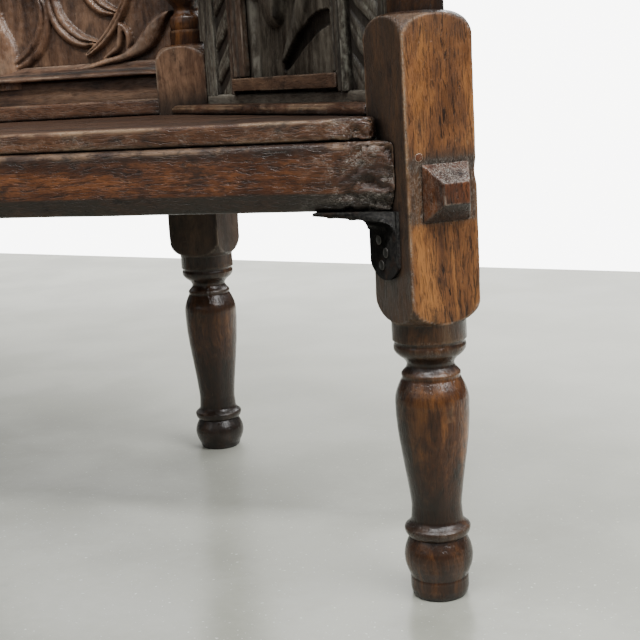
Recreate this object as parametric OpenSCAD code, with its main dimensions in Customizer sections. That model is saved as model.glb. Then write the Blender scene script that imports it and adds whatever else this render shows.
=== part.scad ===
// Half-octagon oak hall bench: four turned posts, a plank seat, a carved back and two canted wings.
// X runs along the front rail, Y towards the back, Z up. The origin is on the floor below the
// middle of the bench's outline. Lengths are in millimetres.

/* [Plan] */
// Distance along X, and along Y, from a front post to its rear post: the wing runs at 45 degrees
wing_run = 446; // [420:1:520]
// Distance between the axes of the two rear posts
back_span = 630; // [560:1:900]
// Width of a post's square blocks
post_w = 76; // [72:1:84]

/* [Heights] */
// Height of the seat's top face
seat_h = 485; // [470:1:500]
// Underside of the posts' lower blocks
block_low = 283; // [270:1:290]
// Length of the posts' lower blocks
block_h = 296; // [285:1:310]
// Underside of the arms
arm_low = 712; // [700:1:760]
// Underside of the rear posts' top blocks
top_block_low = 930; // [900:1:1000]
// Length of the rear posts' top blocks
top_block_h = 110; // [100:1:130]

/* [Turned legs] */
// Radius of the curve that turns the block's corners into its round ends
shoulder_r = 30; // [24:1:34]
// Radius of the collar below the block
collar_r = 37.5; // [35:0.5:38]
// Radius of the ring below the collar
ring_r = 36.5; // [33:0.5:37]
// Radius of the neck
neck_r = 24; // [20:0.5:27]
// Distance from the block down to the neck
neck_drop = 43; // [40:1:50]
// Largest radius of the baluster
baluster_r = 37.4; // [33:0.2:38]
// Smallest radius of the baluster, above the ankle
ankle_r = 25.8; // [22:0.2:28]
// Radius of the ankle ring
ankle_ring_r = 34; // [30:0.2:35]
// Height of the ankle ring
ankle_ring_h = 19; // [15:1:24]
// Distance from the ankle ring up to the ankle
ankle_rise = 14; // [10:1:20]
// Distance from the neck down to the baluster's widest place
belly_drop = 36; // [30:1:44]
// Distance from the neck down to the baluster's lip
lip_drop = 7; // [5:1:10]
// How far that lip stands out of the neck
lip_out = 6; // [4:0.5:7]
// Height of that lip
lip_h = 4; // [3:0.5:6]
// Height of the hollow above the neck
neck_h = 9; // [6:0.5:10]
// Height of the ring below the collar
ring_h = 14; // [10:1:18]
// Radius of the ball above the foot
ball_r = 35.4; // [32:0.2:37]
// Height of the ball
ball_h = 42; // [36:1:50]
// Depth of the grooves above and below the ankle ring
ball_groove = 6; // [4:0.5:8]
// Radius of the foot
foot_r = 30; // [27:0.5:32]
// How far the foot's lower edge is drawn in
foot_ease = 3; // [1:0.5:5]
// Height of the disc under the front legs' ball
foot_disc_h = 21; // [14:1:30]
// Small step between neighbouring turnings
quirk = 1; // [0.5:0.1:1.5]

/* [Turned columns] */
// Radius of the collars at a column's ends
column_r = 27; // [24:0.5:29]
// Height of a column's lower collar
column_collar_h = 19; // [15:1:24]
// Height of the torus above the collar
column_torus_h = 18; // [14:1:22]
// Height of the hollow above the torus
column_cove_h = 16; // [12:1:20]
// Depth of the grooves above and below the torus
column_groove = 2.5; // [1.5:0.5:4]
// How far the lips stand out of a column's hollow
column_lip = 5; // [3:0.5:6]
// Smallest radius of a column
column_neck_r = 18; // [15:0.5:20]
// Largest radius of a column's vase
column_vase_r = 30; // [27:0.5:32]
// Height of the blocks below the arms
arm_block_h = 42; // [36:1:50]
// How far the rear posts' middle blocks stand over the arms
arm_block_over = 20; // [10:1:30]
// Height of the finials
finial_h = 55; // [45:1:80]
// Radius of the finials' balls
finial_r = 25; // [20:1:28]
// Height of the collar below a finial
finial_collar_h = 4; // [2:0.5:6]
// How much the lathe eases the corners of the short blocks
short_ease = 8; // [4:1:12]

/* [Seat frame] */
// Height of the seat rails
rail_h = 67; // [60:1:80]
// Thickness of the front rail
front_rail_t = 40; // [36:1:44]
// Height of the bevel along the front rail's lower edge
rail_bevel_h = 19; // [10:1:24]
// Depth of that bevel
rail_bevel_d = 6; // [3:1:9]
// Ease of the front rail's upper edge
rail_ease = 3; // [1:0.5:5]
// Thickness of the back rail
back_rail_t = 36; // [30:1:40]
// Thickness of the side rails outside the wing's face
side_rail_out = 22; // [18:1:26]
// Ledge of the side rails that carries the boards
side_rail_in = 14; // [10:1:18]
// Thickness of the seat boards
board_t = 22; // [18:1:26]
// How far the front board stands behind the front rail's face
board_setback = 5; // [2:1:10]
// How far the front board's end stops short of the front post's axis
board_end_gap = 38; // [34:1:44]
// Number of seat boards
board_count = 3; // [3:1:5]
// Gap between the seat boards
board_gap = 0.5; // [0.3:0.1:2]
// Height of the bearers under the boards
bearer_h = 40; // [30:1:45]
// Thickness of the bearers
bearer_t = 28; // [22:1:34]
// Distance from the outer bearers to the rear posts' axes
bearer_inset = 75; // [60:1:100]
// Depth of the bearers' housings in the rails
bearer_in = 10; // [6:1:12]

/* [Joints] */
// Clearance round each tenon
fit_gap = 0.3; // [0.2:0.1:0.6]
// Thickness of the seat rails' tenons
tenon_t = 14; // [10:1:16]
// Height of the seat rails' tenons
tenon_h = 45; // [35:1:50]
// Length of the side and back seat rails' tenons in the rear posts
tenon_l = 30; // [20:1:34]
// Length of the side seat rails' tenons in the front posts
front_tenon_l = 26; // [20:1:28]
// Length of the wing and back rails' tenons
frame_tenon_l = 22; // [18:1:24]
// Length of the wing rails' tenons in the rear posts
wing_tenon_l = 18; // [12:1:20]
// Thickness of the wing rails' tenons
wing_tenon_t = 10; // [8:1:12]
// Thickness of the back rails' tenons
back_tenon_t = 12; // [8:1:14]
// Distance from these tenons to the edges of their rails
tenon_edge = 6; // [4:0.5:8]
// Length of the arms' tenons in the rear posts
arm_tenon_l = 24; // [18:1:26]
// Width of the arms' tenons
arm_tenon_w = 30; // [24:1:34]
// Radius of the oak pegs
peg_r = 4; // [3:0.5:4.5]
// Length of the pegs
peg_l = 50; // [48:1:54]
// Distance from a peg to the post's edge
peg_in = 13; // [12:0.5:14]
// Distance from the front peg to the rail's top
peg_drop = 17; // [16:0.5:24]
// How far the pegs stand out of the posts
peg_out = 0.5; // [0.2:0.1:1]
// Clearance round each peg and nail
peg_gap = 0.15; // [0.1:0.05:0.3]
// Width of the boss on the front post
boss_w = 52; // [44:1:56]
// Height of the boss
boss_h = 57; // [50:1:62]
// How far the boss stands out
boss_out = 22; // [15:1:26]
// Width of the boss's flat front
boss_flat_w = 28; // [20:1:34]
// Height of the boss's flat front
boss_flat_h = 21; // [16:1:28]
// Distance from the seat's top down to the boss's middle
boss_drop = 73; // [66:1:80]
// How far the boss's middle stands beside the post's
boss_side = 2.5; // [0:0.5:5]
// Radius of the boss's spigot
spigot_r = 8; // [6:0.5:9]
// Length of the boss's spigot
spigot_l = 15; // [10:1:15]

/* [Iron brackets] */
// Length of the arm on the post
bracket_drop = 68; // [55:1:80]
// Reach of the arm under the front rail
bracket_reach = 100; // [80:1:130]
// Thickness of the strap at its ends
bracket_t = 3; // [2.5:0.5:5]
// Extra thickness of the strap at its bend
bracket_root = 6; // [4:1:9]
// Radius inside the bend
bracket_fillet = 12; // [8:1:14]
// Radius of the round end of the arm on the post
bracket_round = 34; // [30:1:38]
// Radius of the nail heads
nail_head_r = 5; // [4:0.5:6]
// Height of the nail heads
nail_head_h = 1.5; // [1.5:0.5:3]
// Radius of the nails
nail_r = 2; // [1.5:0.25:2.5]
// Length of the nails
nail_l = 24; // [18:1:30]
// How far a nail's shank reaches into its head
nail_in = 0.4; // [0.2:0.1:1]

/* [Wings] */
// Thickness of the wing's frame
wing_t = 22; // [18:1:24]
// Top of the wing's plain lower rail above the seat
wing_rail_up = 24; // [18:1:30]
// Width of the wing's rear stile
rear_stile_w = 99; // [85:1:110]
// Width of the wing's front stile
front_stile_w = 110; // [95:1:120]
// How far the rear stile runs on towards the column, above the post's block
stile_over = 14; // [8:1:18]
// Width of the raised fillet along each stile's outer edge
fillet_w = 38; // [28:1:44]
// Depth of the carved channel beside the fillet
channel_d = 5; // [3:1:7]
// Width of the mouldings round the wing panel
mould_w = 38; // [30:1:42]
// How far the mouldings stand out of the frame's face
mould_out = 6; // [4:1:9]
// Thickness of the mouldings
mould_t = 16; // [14:1:18]
// How far the mouldings' inner slope falls
mould_fall = 7; // [4:1:8]
// Height of the sill strip below the panel
sill_h = 16; // [12:1:20]
// How much of each moulding's width the sill strip leaves free
sill_in = 15; // [10:1:24]
// How far the sill strip stands out of the frame's face
sill_out = 8; // [5:1:12]
// Gap below the sill strip
sill_gap = 3; // [0.3:0.1:4]
// Thickness of the wing panel
wing_panel_t = 12; // [10:1:13]
// Width of the panel's flat margin beside the mouldings
margin_w = 14; // [8:1:30]
// Depth of the sunk field
field_d = 5; // [3:1:7]
// Height of the wing's top rail
wing_top_h = 38; // [30:1:42]
// Width of the batten along the foot of the wing
batten_w = 40; // [30:1:45]
// Thickness of that batten
batten_t = 12; // [9:1:15]
// Bevel of that batten's upper edge
batten_ease = 4; // [2:1:6]

/* [Arms] */
// Width of the arms
arm_w = 84; // [78:1:92]
// Thickness of the arms
arm_t = 28; // [24:1:34]
// Radius of the arm's rounded end
arm_end_r = 48; // [44:1:52]
// How far the arm runs along the rear post's outer face
arm_hug = 30; // [20:1:36]
// Radius of the round tenon on the front post
arm_pin_r = 12; // [10:1:14]
// Length of that tenon
arm_pin_l = 20; // [16:1:22]

/* [Back] */
// Distance from the rear posts' axes to the front of the back's lower rail
back_rail_in = 4; // [2:1:8]
// Thickness of the back's rails
back_frame_t = 32; // [26:1:34]
// Top of the back's lower rail above the seat
back_rail_up = 56; // [45:1:65]
// Height of the ogee mouldings
ogee_h = 21; // [16:1:26]
// How far the ogee mouldings stand out
ogee_out = 16; // [12:1:20]
// Height of the flat lip of the ogee mouldings
ogee_lip = 5; // [3:0.5:7]
// Thickness of the back panel
back_panel_t = 18; // [14:1:20]
// How far the back panel's ends stop short of the rear posts' axes
back_panel_gap = 19; // [18:1:24]
// Thickness of the panel's tongues
tongue_t = 8; // [6:1:10]
// Depth of the grooves for them
groove_d = 10; // [8:1:12]
// Height of the back's top rail
back_top_h = 70; // [60:1:80]
// Height of the cap on the top rail
cap_h = 18; // [14:1:24]
// How far the cap stands over the top rail's face
cap_over = 10; // [6:1:14]
// Height of the batten along the foot of the back
back_batten_h = 23; // [18:1:28]
// Depth of that batten
back_batten_d = 26; // [20:1:32]

/* [Hidden] */

$fn = 64;

// The square posts and the outline of the whole bench; far is longer than the bench, past is how far a
// cutting shape runs over, core_in and short_in are how far the turnings run into the blocks
half = post_w / 2;
half_diag = half * sqrt(2);
wing_angle = 135;
rear_x = back_span / 2;
bearer_pitch = rear_x - bearer_inset;
front_x = rear_x + wing_run;
front_y = -(wing_run + half + peg_out - half_diag) / 2;
rear_y = front_y + wing_run;
wing_l = wing_run * sqrt(2);
far = 3 * (front_x + wing_run);
past = 1;
core_in = 8;
short_in = 4;

// Heights
block_top = block_low + block_h;
rail_top = seat_h - board_t;
rail_low = rail_top - rail_h;
tenon_low = rail_low + (rail_h - tenon_h) / 2;
tenon_mid = tenon_low + tenon_h / 2;
boss_z = seat_h - boss_drop;
arm_block_low = arm_low - arm_block_h;
arm_top = arm_low + arm_t;
rear_block_top = arm_top + arm_block_over;
top_block_top = top_block_low + top_block_h;
bench_top = top_block_top + finial_h;
wing_rail_top = seat_h + wing_rail_up;
wing_tenon_low = seat_h - 2 * tenon_edge;
wing_tenon_high = wing_rail_top - tenon_edge;
sill_low = wing_rail_top + sill_gap;
sill_top = sill_low + sill_h;
wing_top_low = arm_low - wing_top_h;
back_rail_top = seat_h + back_rail_up;
back_top_rail_top = top_block_top - (top_block_h - back_top_h) / 2;
back_top_rail_low = back_top_rail_top - back_top_h;

// Along a wing, measured from the front post's axis: the wing's clear run and its bands
wing_start = half + fit_gap;
wing_end = wing_l - half_diag;
mould_start = wing_start + front_stile_w;
mould_end = wing_end - rear_stile_w;
panel_start = mould_start + mould_w;
panel_end = mould_end - mould_w;

// The back between its posts, and the middle of its thickness
back_reach = rear_x - half - fit_gap;
back_face = rear_y + back_rail_in;
back_mid = back_face + back_frame_t / 2;

// Places of the bracket's nails: along the strap's width and down its length on the post, as a share
// of its reach on the rail
post_nails = [[17, 0.43], [4, 0.6], [13, 0.79]];
rail_nails = [0.66, 0.88];

// A point that goes from one value to another
function mix(a, b, t) = a + (b - a) * t;

// Points of an arc
function arc_points(r, z, radius, from, to, steps) =
    [for (i = [0 : steps]) let (a = mix(from, to, i / steps)) [r + radius * cos(a), z + radius * sin(a)]];

// A turned swelling from one height and radius to another, as far out as peak; hollow if peak is smaller
function swell(z0, r0, z1, r1, peak, steps) =
    [for (i = [0 : steps]) let (t = i / steps)
        [mix(r0, r1, t) + (peak - (r0 + r1) / 2) * sin(180 * t), mix(z0, z1, t)]];

// A turned leg from the floor to the block; disc is the height of the foot's disc
function leg_points(disc) = let (
    neck_z = block_low - neck_drop,
    ball_top = disc + ball_h,
    ring_top = ball_top + ankle_ring_h,
    edge_z = mix(ball_top, ring_top, 0.5),
    ankle_z = ring_top + ankle_rise,
    belly_z = neck_z - belly_drop,
    lip_z = neck_z - lip_drop,
    lip_r = neck_r + lip_out,
    hollow_top = neck_z + neck_h,
    ring_low = hollow_top + quirk,
    collar_low = ring_low + ring_h + quirk,
    groove_r = ball_r - ball_groove
) concat(
    [[0, 0], [foot_r - foot_ease, 0], [foot_r - quirk, foot_ease]],
    disc > 0 ? [[foot_r, 3 * foot_ease], [foot_r, disc - quirk]] : [],
    swell(max(disc, 2 * foot_ease), foot_r - quirk / 2, ball_top, groove_r, ball_r, 8),
    [for (i = [0 : 5]) let (a = 90 * i / 5)
        [mix(groove_r, ankle_ring_r, sin(a)), mix(ball_top + quirk, edge_z, 1 - cos(a))]],
    [for (i = [0 : 5]) let (t = i / 5)
        [mix(ankle_ring_r - quirk / 2, ankle_r + quirk, sin(90 * t)), mix(edge_z + quirk, ring_top, t)]],
    [for (i = [0 : 8]) let (t = i / 8, s = (1 - cos(180 * t) + 2 * sin(90 * t)) / 4)
        [mix(ankle_r, baluster_r, s), mix(ankle_z, belly_z, t)]],
    [for (i = [1 : 5]) let (a = 90 * i / 5)
        [mix(lip_r - quirk, baluster_r, cos(a)), mix(belly_z, lip_z - lip_h, i / 5)]],
    [[lip_r, lip_z - lip_h + quirk], [lip_r, lip_z]],
    swell(lip_z + quirk, lip_r - quirk, hollow_top, neck_r + neck_h / 2, neck_r, 6),
    swell(ring_low, neck_r + neck_h / 2 + 2 * quirk, ring_low + ring_h, ring_r - quirk, ring_r, 4),
    [[ring_r - quirk, collar_low], [collar_r, collar_low + 2 * quirk], [collar_r, block_low + core_in]]
);

// A turned column between two blocks
function column_points(low, high) = let (
    collar_top = low + column_collar_h,
    torus_top = collar_top + column_torus_h,
    cove_top = torus_top + column_cove_h,
    end = high - column_collar_h / 2,
    groove_r = column_r - column_groove,
    lip_r = column_neck_r + column_lip
) concat(
    [[column_r, low - short_in], [column_r, collar_top - quirk]],
    swell(collar_top, groove_r, torus_top, groove_r, column_r - quirk, 6),
    [[groove_r - 1.5 * quirk, torus_top + quirk]],
    swell(torus_top + 2 * quirk, column_r - 2 * column_groove, cove_top, lip_r - quirk, column_neck_r, 5),
    swell(cove_top + quirk, lip_r, end - quirk, lip_r, column_vase_r, 8),
    [[column_r, end], [column_r, high + short_in]]
);

// The ball on top of a rear post
function finial_points(low) = let (collar_top = low + finial_collar_h) concat(
    [[column_r, low - short_in], [column_r, collar_top], [column_neck_r, collar_top + quirk]],
    arc_points(0, low + finial_h - finial_r, finial_r, -acos(column_neck_r / finial_r), 90, 8)
);

// A square block whose ends the lathe has rounded
module block(low, high) {
    reach = half_diag + past - shoulder_r;
    intersection() {
        translate([-half, -half, low]) cube([post_w, post_w, high - low]);
        rotate_extrude() polygon(concat(
            [[0, low]],
            arc_points(reach, low + shoulder_r, shoulder_r, -90, 0, 8),
            arc_points(reach, high - shoulder_r, shoulder_r, 0, 90, 8),
            [[0, high]]
        ));
    }
}

// A short block with only its corners eased
module short_block(low, high) {
    intersection() {
        translate([-half, -half, low]) cube([post_w, post_w, high - low]);
        rotate_extrude() polygon([
            [0, low], [half_diag - short_ease, low], [half_diag + past, low + short_ease],
            [half_diag + past, high - short_ease], [half_diag - short_ease, high], [0, high]
        ]);
    }
}

// The right wing's own frame: X along the wing from the front post's axis, Y into the bench
module along_wing() {
    translate([front_x, front_y, 0]) rotate([0, 0, wing_angle]) children();
}

// A box given by its lowest and highest corners, grown by a gap all round
module box(low, high, gap = 0) {
    translate([low[0] - gap, low[1] - gap, low[2] - gap])
        cube([high[0] - low[0] + 2 * gap, high[1] - low[1] + 2 * gap, high[2] - low[2] + 2 * gap]);
}

module left_side() {
    mirror([1, 0, 0]) children();
}

// Space taken by the right rear post's blocks, with the clearance round them
module rear_block_space(gap) {
    box([rear_x - half, rear_y - half, 0], [rear_x + half, rear_y + half, bench_top], gap);
}

// Tenons, each drawn once for the rail and once, grown by the clearance, for its mortise
module front_rail_tenon(gap) {
    mid = front_y - front_rail_t * 0.6;
    box(
        [front_x - half_diag - tenon_t, mid - tenon_t / 2, tenon_low],
        [front_x, mid + tenon_t / 2, tenon_low + tenon_h], gap
    );
}

module side_rail_tenons(gap) {
    along_wing() box(
        [half - front_tenon_l, -tenon_t / 2, tenon_low],
        [wing_end + tenon_l, tenon_t / 2, tenon_low + tenon_h], gap
    );
}

module back_rail_tenons(gap) {
    reach = rear_x - half + tenon_l;
    mid = rear_y + (back_rail_t - tenon_t) / 4;
    box([-reach, mid - tenon_t / 2, tenon_low], [reach, mid + tenon_t / 2, tenon_low + tenon_h], gap);
}

module wing_tenons(low, high, gap) {
    along_wing() box(
        [half - frame_tenon_l, -(wing_t + wing_tenon_t) / 2, low],
        [wing_end + wing_tenon_l, -(wing_t - wing_tenon_t) / 2, high], gap
    );
}

module wing_lower_rail_tenons(gap) {
    wing_tenons(wing_tenon_low, wing_tenon_high, gap);
}

module wing_top_rail_tenons(gap) {
    wing_tenons(wing_top_low + tenon_edge, arm_low - tenon_edge, gap);
}

module arm_tenon(gap) {
    along_wing() box(
        [wing_end - arm_tenon_l, -arm_tenon_w / 2, arm_low + tenon_edge],
        [wing_end + arm_tenon_l, arm_tenon_w / 2, arm_top - tenon_edge], gap
    );
}

module arm_pin(gap) {
    along_wing() translate([0, 0, arm_low - past]) cylinder(r = arm_pin_r + gap, h = arm_pin_l + past + gap);
}

module back_tenons(low, high, gap) {
    reach = rear_x - half + frame_tenon_l;
    box([-reach, back_mid - back_tenon_t / 2, low], [reach, back_mid + back_tenon_t / 2, high], gap);
}

module back_lower_rail_tenons(gap) {
    back_tenons(seat_h + tenon_edge, back_rail_top - groove_d - tenon_edge, gap);
}

module back_top_rail_tenons(gap) {
    back_tenons(back_top_rail_low + groove_d + tenon_edge, back_top_rail_top - tenon_edge, gap);
}

// The board of the back panel between its tongues
module back_panel_body(gap) {
    reach = rear_x - back_panel_gap;
    box(
        [-reach, back_mid - back_panel_t / 2, back_rail_top],
        [reach, back_mid + back_panel_t / 2, back_top_rail_low], gap
    );
}

module back_panel_tongues(gap) {
    box(
        [-back_reach, back_mid - tongue_t / 2, back_rail_top - groove_d + fit_gap],
        [back_reach, back_mid + tongue_t / 2, back_top_rail_low + groove_d - fit_gap], gap
    );
}

// Oak pegs of the right side: place and direction of each
module at_front_peg() {
    along_wing() translate([-half - peg_out, half - peg_in, rail_top - peg_drop])
        rotate([0, 90, 0]) children();
}

module at_wing_pegs() {
    for (z = [tenon_mid, mix(wing_tenon_low, wing_tenon_high, 0.5), mix(wing_top_low, arm_low, 0.5)])
        along_wing() translate([half - peg_in, -half - peg_out, z]) rotate([-90, 0, 0]) children();
}

module at_back_pegs() {
    for (z = [tenon_mid, mix(seat_h, back_rail_top, 0.4), mix(back_top_rail_low, back_top_rail_top, 0.55)])
        translate([rear_x - half + peg_in, rear_y + half + peg_out, z]) rotate([90, 0, 0]) children();
}

module peg_set(gap) {
    at_front_peg() cylinder(r = peg_r + gap, h = peg_l + gap);
    at_wing_pegs() cylinder(r = peg_r + gap, h = peg_l + gap);
    at_back_pegs() cylinder(r = peg_r + gap, h = peg_l + gap);
}

// Underside of the right bracket's strap below the front rail, at a distance from the post's axis
function strap_low(v) = let (
    root = half + bracket_t + bracket_fillet,
    end = (bracket_reach + front_rail_t) / sqrt(2)
) rail_low - mix(bracket_t + bracket_root, bracket_t, (v - root) / (end - root));

// Nails of the right bracket, each at the strap's surface
module at_post_nails() {
    along_wing() for (place = post_nails)
        translate([place[0], half + bracket_t, mix(rail_low, rail_low - bracket_drop, place[1])])
            rotate([90, 0, 0]) children();
}

module at_rail_nails() {
    back = front_rail_t * 0.45;
    for (share = rail_nails) {
        x = share * bracket_reach;
        translate([front_x - x, front_y - back, strap_low((x + back) / sqrt(2))]) children();
    }
}

module nail(gap) {
    translate([0, 0, -nail_in]) cylinder(r = nail_r + gap, h = nail_l + gap);
}

module nail_holes() {
    at_post_nails() nail(peg_gap);
    at_rail_nails() {
        nail(peg_gap);
        translate([0, 0, -bracket_root]) cylinder(r = nail_head_r + peg_gap, h = bracket_root);
    }
}

module nail_set() {
    at_post_nails() nail(0);
    at_rail_nails() nail(0);
    at_post_nails() translate([0, 0, -nail_head_h]) cylinder(r = nail_head_r, h = nail_head_h);
    at_rail_nails() translate([0, 0, -nail_head_h]) cylinder(r = nail_head_r, h = nail_head_h);
}

// Posts
module front_post() {
    difference() {
        union() {
            along_wing() {
                rotate_extrude() polygon(concat(
                    leg_points(foot_disc_h),
                    [[column_neck_r, block_low + core_in], [column_neck_r, block_top - core_in]],
                    column_points(block_top, arm_block_low),
                    [[column_neck_r, arm_block_low + short_in], [column_neck_r, arm_low - short_in]],
                    [[0, arm_low - short_in]]
                ));
                block(block_low, block_top);
                short_block(arm_block_low, arm_low);
            }
            arm_pin(0);
        }
        front_rail_tenon(fit_gap);
        side_rail_tenons(fit_gap);
        wing_lower_rail_tenons(fit_gap);
        wing_top_rail_tenons(fit_gap);
        boss_spigot(fit_gap);
        peg_set(peg_gap);
        nail_holes();
    }
}

module rear_post() {
    difference() {
        translate([rear_x, rear_y, 0]) {
            rotate_extrude() polygon(concat(
                leg_points(0),
                [[column_neck_r, block_low + core_in], [column_neck_r, block_top - core_in]],
                column_points(block_top, arm_block_low),
                [[column_neck_r, arm_block_low + short_in], [column_neck_r, rear_block_top - short_in]],
                column_points(rear_block_top, top_block_low),
                [[column_neck_r, top_block_low + short_in], [column_neck_r, top_block_top - short_in]],
                finial_points(top_block_top)
            ));
            block(block_low, block_top);
            short_block(arm_block_low, rear_block_top);
            short_block(top_block_low, top_block_top);
        }
        side_rail_tenons(fit_gap);
        back_rail_tenons(fit_gap);
        wing_lower_rail_tenons(fit_gap);
        wing_top_rail_tenons(fit_gap);
        arm_tenon(fit_gap);
        back_lower_rail_tenons(fit_gap);
        back_top_rail_tenons(fit_gap);
        back_panel_body(fit_gap);
        peg_set(peg_gap);
    }
}

module front_post_right() {
    color([0.34, 0.2, 0.12]) front_post();
}

module front_post_left() {
    color([0.34, 0.2, 0.12]) left_side() front_post();
}

module rear_post_right() {
    color([0.3, 0.19, 0.13]) rear_post();
}

module rear_post_left() {
    color([0.3, 0.19, 0.13]) left_side() rear_post();
}

// All that lies beyond the right front post's inner face, where the front rail ends
module inside_of_dark_face(gap) {
    along_wing() box([-far, half + gap, 0], [far, far, bench_top]);
}

// Seat frame
module front_rail_body() {
    face = front_y - front_rail_t;
    intersection() {
        rotate([90, 0, 90]) translate([0, 0, -far / 2]) linear_extrude(far) polygon([
            [face + rail_bevel_d, rail_low], [face, rail_low + rail_bevel_h], [face, rail_top - rail_ease],
            [face + rail_ease, rail_top], [front_y, rail_top], [front_y, rail_low]
        ]);
        inside_of_dark_face(fit_gap);
        left_side() inside_of_dark_face(fit_gap);
    }
}

module front_seat_rail() {
    color([0.33, 0.2, 0.13]) difference() {
        union() {
            front_rail_body();
            front_rail_tenon(0);
            left_side() front_rail_tenon(0);
        }
        bearers(fit_gap);
        peg_set(peg_gap);
        left_side() peg_set(peg_gap);
        nail_holes();
        left_side() nail_holes();
    }
}

module back_seat_rail() {
    reach = rear_x - half - fit_gap;
    color([0.3, 0.19, 0.13]) difference() {
        union() {
            box([-reach, rear_y - back_rail_t / 2, rail_low], [reach, rear_y + back_rail_t / 2, rail_top]);
            back_rail_tenons(0);
        }
        bearers(fit_gap);
        peg_set(peg_gap);
        left_side() peg_set(peg_gap);
    }
}

module side_seat_rail() {
    difference() {
        union() {
            difference() {
                along_wing() box([wing_start, -side_rail_out, rail_low], [wing_l, side_rail_in, rail_top]);
                rear_block_space(fit_gap);
                box([-far, rear_y - half - fit_gap, 0], [rear_x, far, bench_top]);
            }
            side_rail_tenons(0);
        }
        peg_set(peg_gap);
    }
}

module side_seat_rail_right() {
    color([0.3, 0.19, 0.13]) side_seat_rail();
}

module side_seat_rail_left() {
    color([0.3, 0.19, 0.13]) left_side() side_seat_rail();
}

// Bearers under the boards, housed in the front and back rails
module bearer(place, gap) {
    box(
        [place * bearer_pitch - bearer_t / 2, front_y - bearer_in, rail_top - bearer_h],
        [place * bearer_pitch + bearer_t / 2, rear_y - back_rail_t / 2 + bearer_in, rail_top], gap
    );
}

module bearers(gap) {
    for (place = [-1 : 1]) bearer(place, gap);
}

module seat_bearer_right() {
    color([0.36, 0.24, 0.16]) bearer(1, 0);
}

module seat_bearer_centre() {
    color([0.36, 0.24, 0.16]) bearer(0, 0);
}

module seat_bearer_left() {
    color([0.36, 0.24, 0.16]) bearer(-1, 0);
}

// Seat boards, cut round the posts and against the wings
board_front_y = front_y - front_rail_t + board_setback;
board_back_y = rear_y + back_rail_in - fit_gap;
board_w = (board_back_y - board_front_y) / board_count;

module seat_half_plan() {
    difference() {
        along_wing() box([-far, fit_gap, rail_top], [far, far, seat_h]);
        along_wing() box([-half, -half, 0], [half, half, bench_top], fit_gap);
        along_wing() box([-far, -far, 0], [half + fit_gap, half + fit_gap, bench_top]);
        rear_block_space(fit_gap);
        box([rear_x - half - fit_gap, rear_y - half - fit_gap, 0], [far, far, bench_top]);
    }
}

module seat_board(place) {
    end = place == 0 ? front_x - board_end_gap : front_x;
    intersection() {
        box(
            [-end, board_front_y + place * board_w, rail_top],
            [end, board_front_y + (place + 1) * board_w - (place < board_count - 1 ? board_gap : 0), seat_h]
        );
        seat_half_plan();
        left_side() seat_half_plan();
    }
}

module seat_board_front() {
    color([0.36, 0.21, 0.13]) seat_board(0);
}

module seat_board_middle() {
    color([0.33, 0.2, 0.13]) for (place = [1 : board_count - 2]) seat_board(place);
}

module seat_board_back() {
    color([0.33, 0.2, 0.13]) seat_board(board_count - 1);
}

// Bosses on the front posts' outer faces, each on a spigot
module boss_spigot(gap) {
    along_wing() translate([-half - past, -boss_side, boss_z]) rotate([0, 90, 0])
        cylinder(r = spigot_r + gap, h = spigot_l + past + gap);
}

module boss() {
    along_wing() translate([-half, -boss_side, boss_z]) rotate([0, -90, 0]) intersection() {
        boss_taper(boss_h, boss_flat_h) box([-boss_h, -boss_w / 2, 0], [boss_h, boss_w / 2, boss_out]);
        rotate([0, 0, 90]) boss_taper(boss_w, boss_flat_w)
            box([-boss_w, -boss_h / 2, 0], [boss_w, boss_h / 2, boss_out]);
    }
    boss_spigot(0);
}

// Keeps of its children what lies between two faces that lean in from the base width to the flat's
module boss_taper(base, flat) {
    intersection() {
        children();
        rotate([90, 0, 0]) translate([0, 0, -far / 2]) linear_extrude(far)
            polygon([[-base / 2, 0], [base / 2, 0], [flat / 2, boss_out], [-flat / 2, boss_out]]);
    }
}

module boss_right() {
    color([0.3, 0.16, 0.11]) boss();
}

module boss_left() {
    color([0.3, 0.16, 0.11]) left_side() boss();
}

// Iron angle straps between the front posts and the front rail: the upright arm ends in a round, and
// the arm under the rail grows thicker towards the bend
module bracket() {
    strap_w = front_rail_t * sqrt(2);
    foot = rail_low - bracket_drop;
    bend_low = rail_low - bracket_t - bracket_root - bracket_fillet;
    bend = half + bracket_t;
    end = (bracket_reach + front_rail_t) / sqrt(2) + past;
    difference() {
        union() {
            along_wing() box([half - strap_w, half, foot + bracket_round], [half, bend, rail_low]);
            along_wing() intersection() {
                box([half - strap_w, half, foot], [half, bend, foot + bracket_round + past]);
                translate([half - strap_w / 2, 0, foot + bracket_round]) rotate([-90, 0, 0])
                    cylinder(r = bracket_round, h = far);
            }
            intersection() {
                along_wing() rotate([90, 0, 90]) translate([0, 0, -far / 2]) linear_extrude(far)
                    polygon(concat(
                        [[half, rail_low], [half, bend_low], [bend, bend_low]],
                        [for (i = [1 : 6]) let (a = 90 * i / 6)
                            [bend + bracket_fillet * (1 - cos(a)), bend_low + bracket_fillet * sin(a)]],
                        [[end, strap_low(end)], [end, rail_low]]
                    ));
                box([front_x - bracket_reach, front_y - front_rail_t, 0], [front_x, front_y, rail_low]);
            }
        }
        nail_holes();
    }
}

module bracket_right() {
    color([0.1, 0.1, 0.1]) bracket();
}

module bracket_left() {
    color([0.1, 0.1, 0.1]) left_side() bracket();
}

module bracket_nails() {
    color([0.12, 0.11, 0.11]) {
        nail_set();
        left_side() nail_set();
    }
}

module joint_pegs() {
    color([0.25, 0.15, 0.1]) {
        peg_set(0);
        left_side() peg_set(0);
    }
}

// Wings
module wing_piece() {
    difference() {
        along_wing() children();
        rear_block_space(fit_gap);
        box([-far, rear_y - half - fit_gap, 0], [rear_x, far, bench_top]);
    }
}

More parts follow.
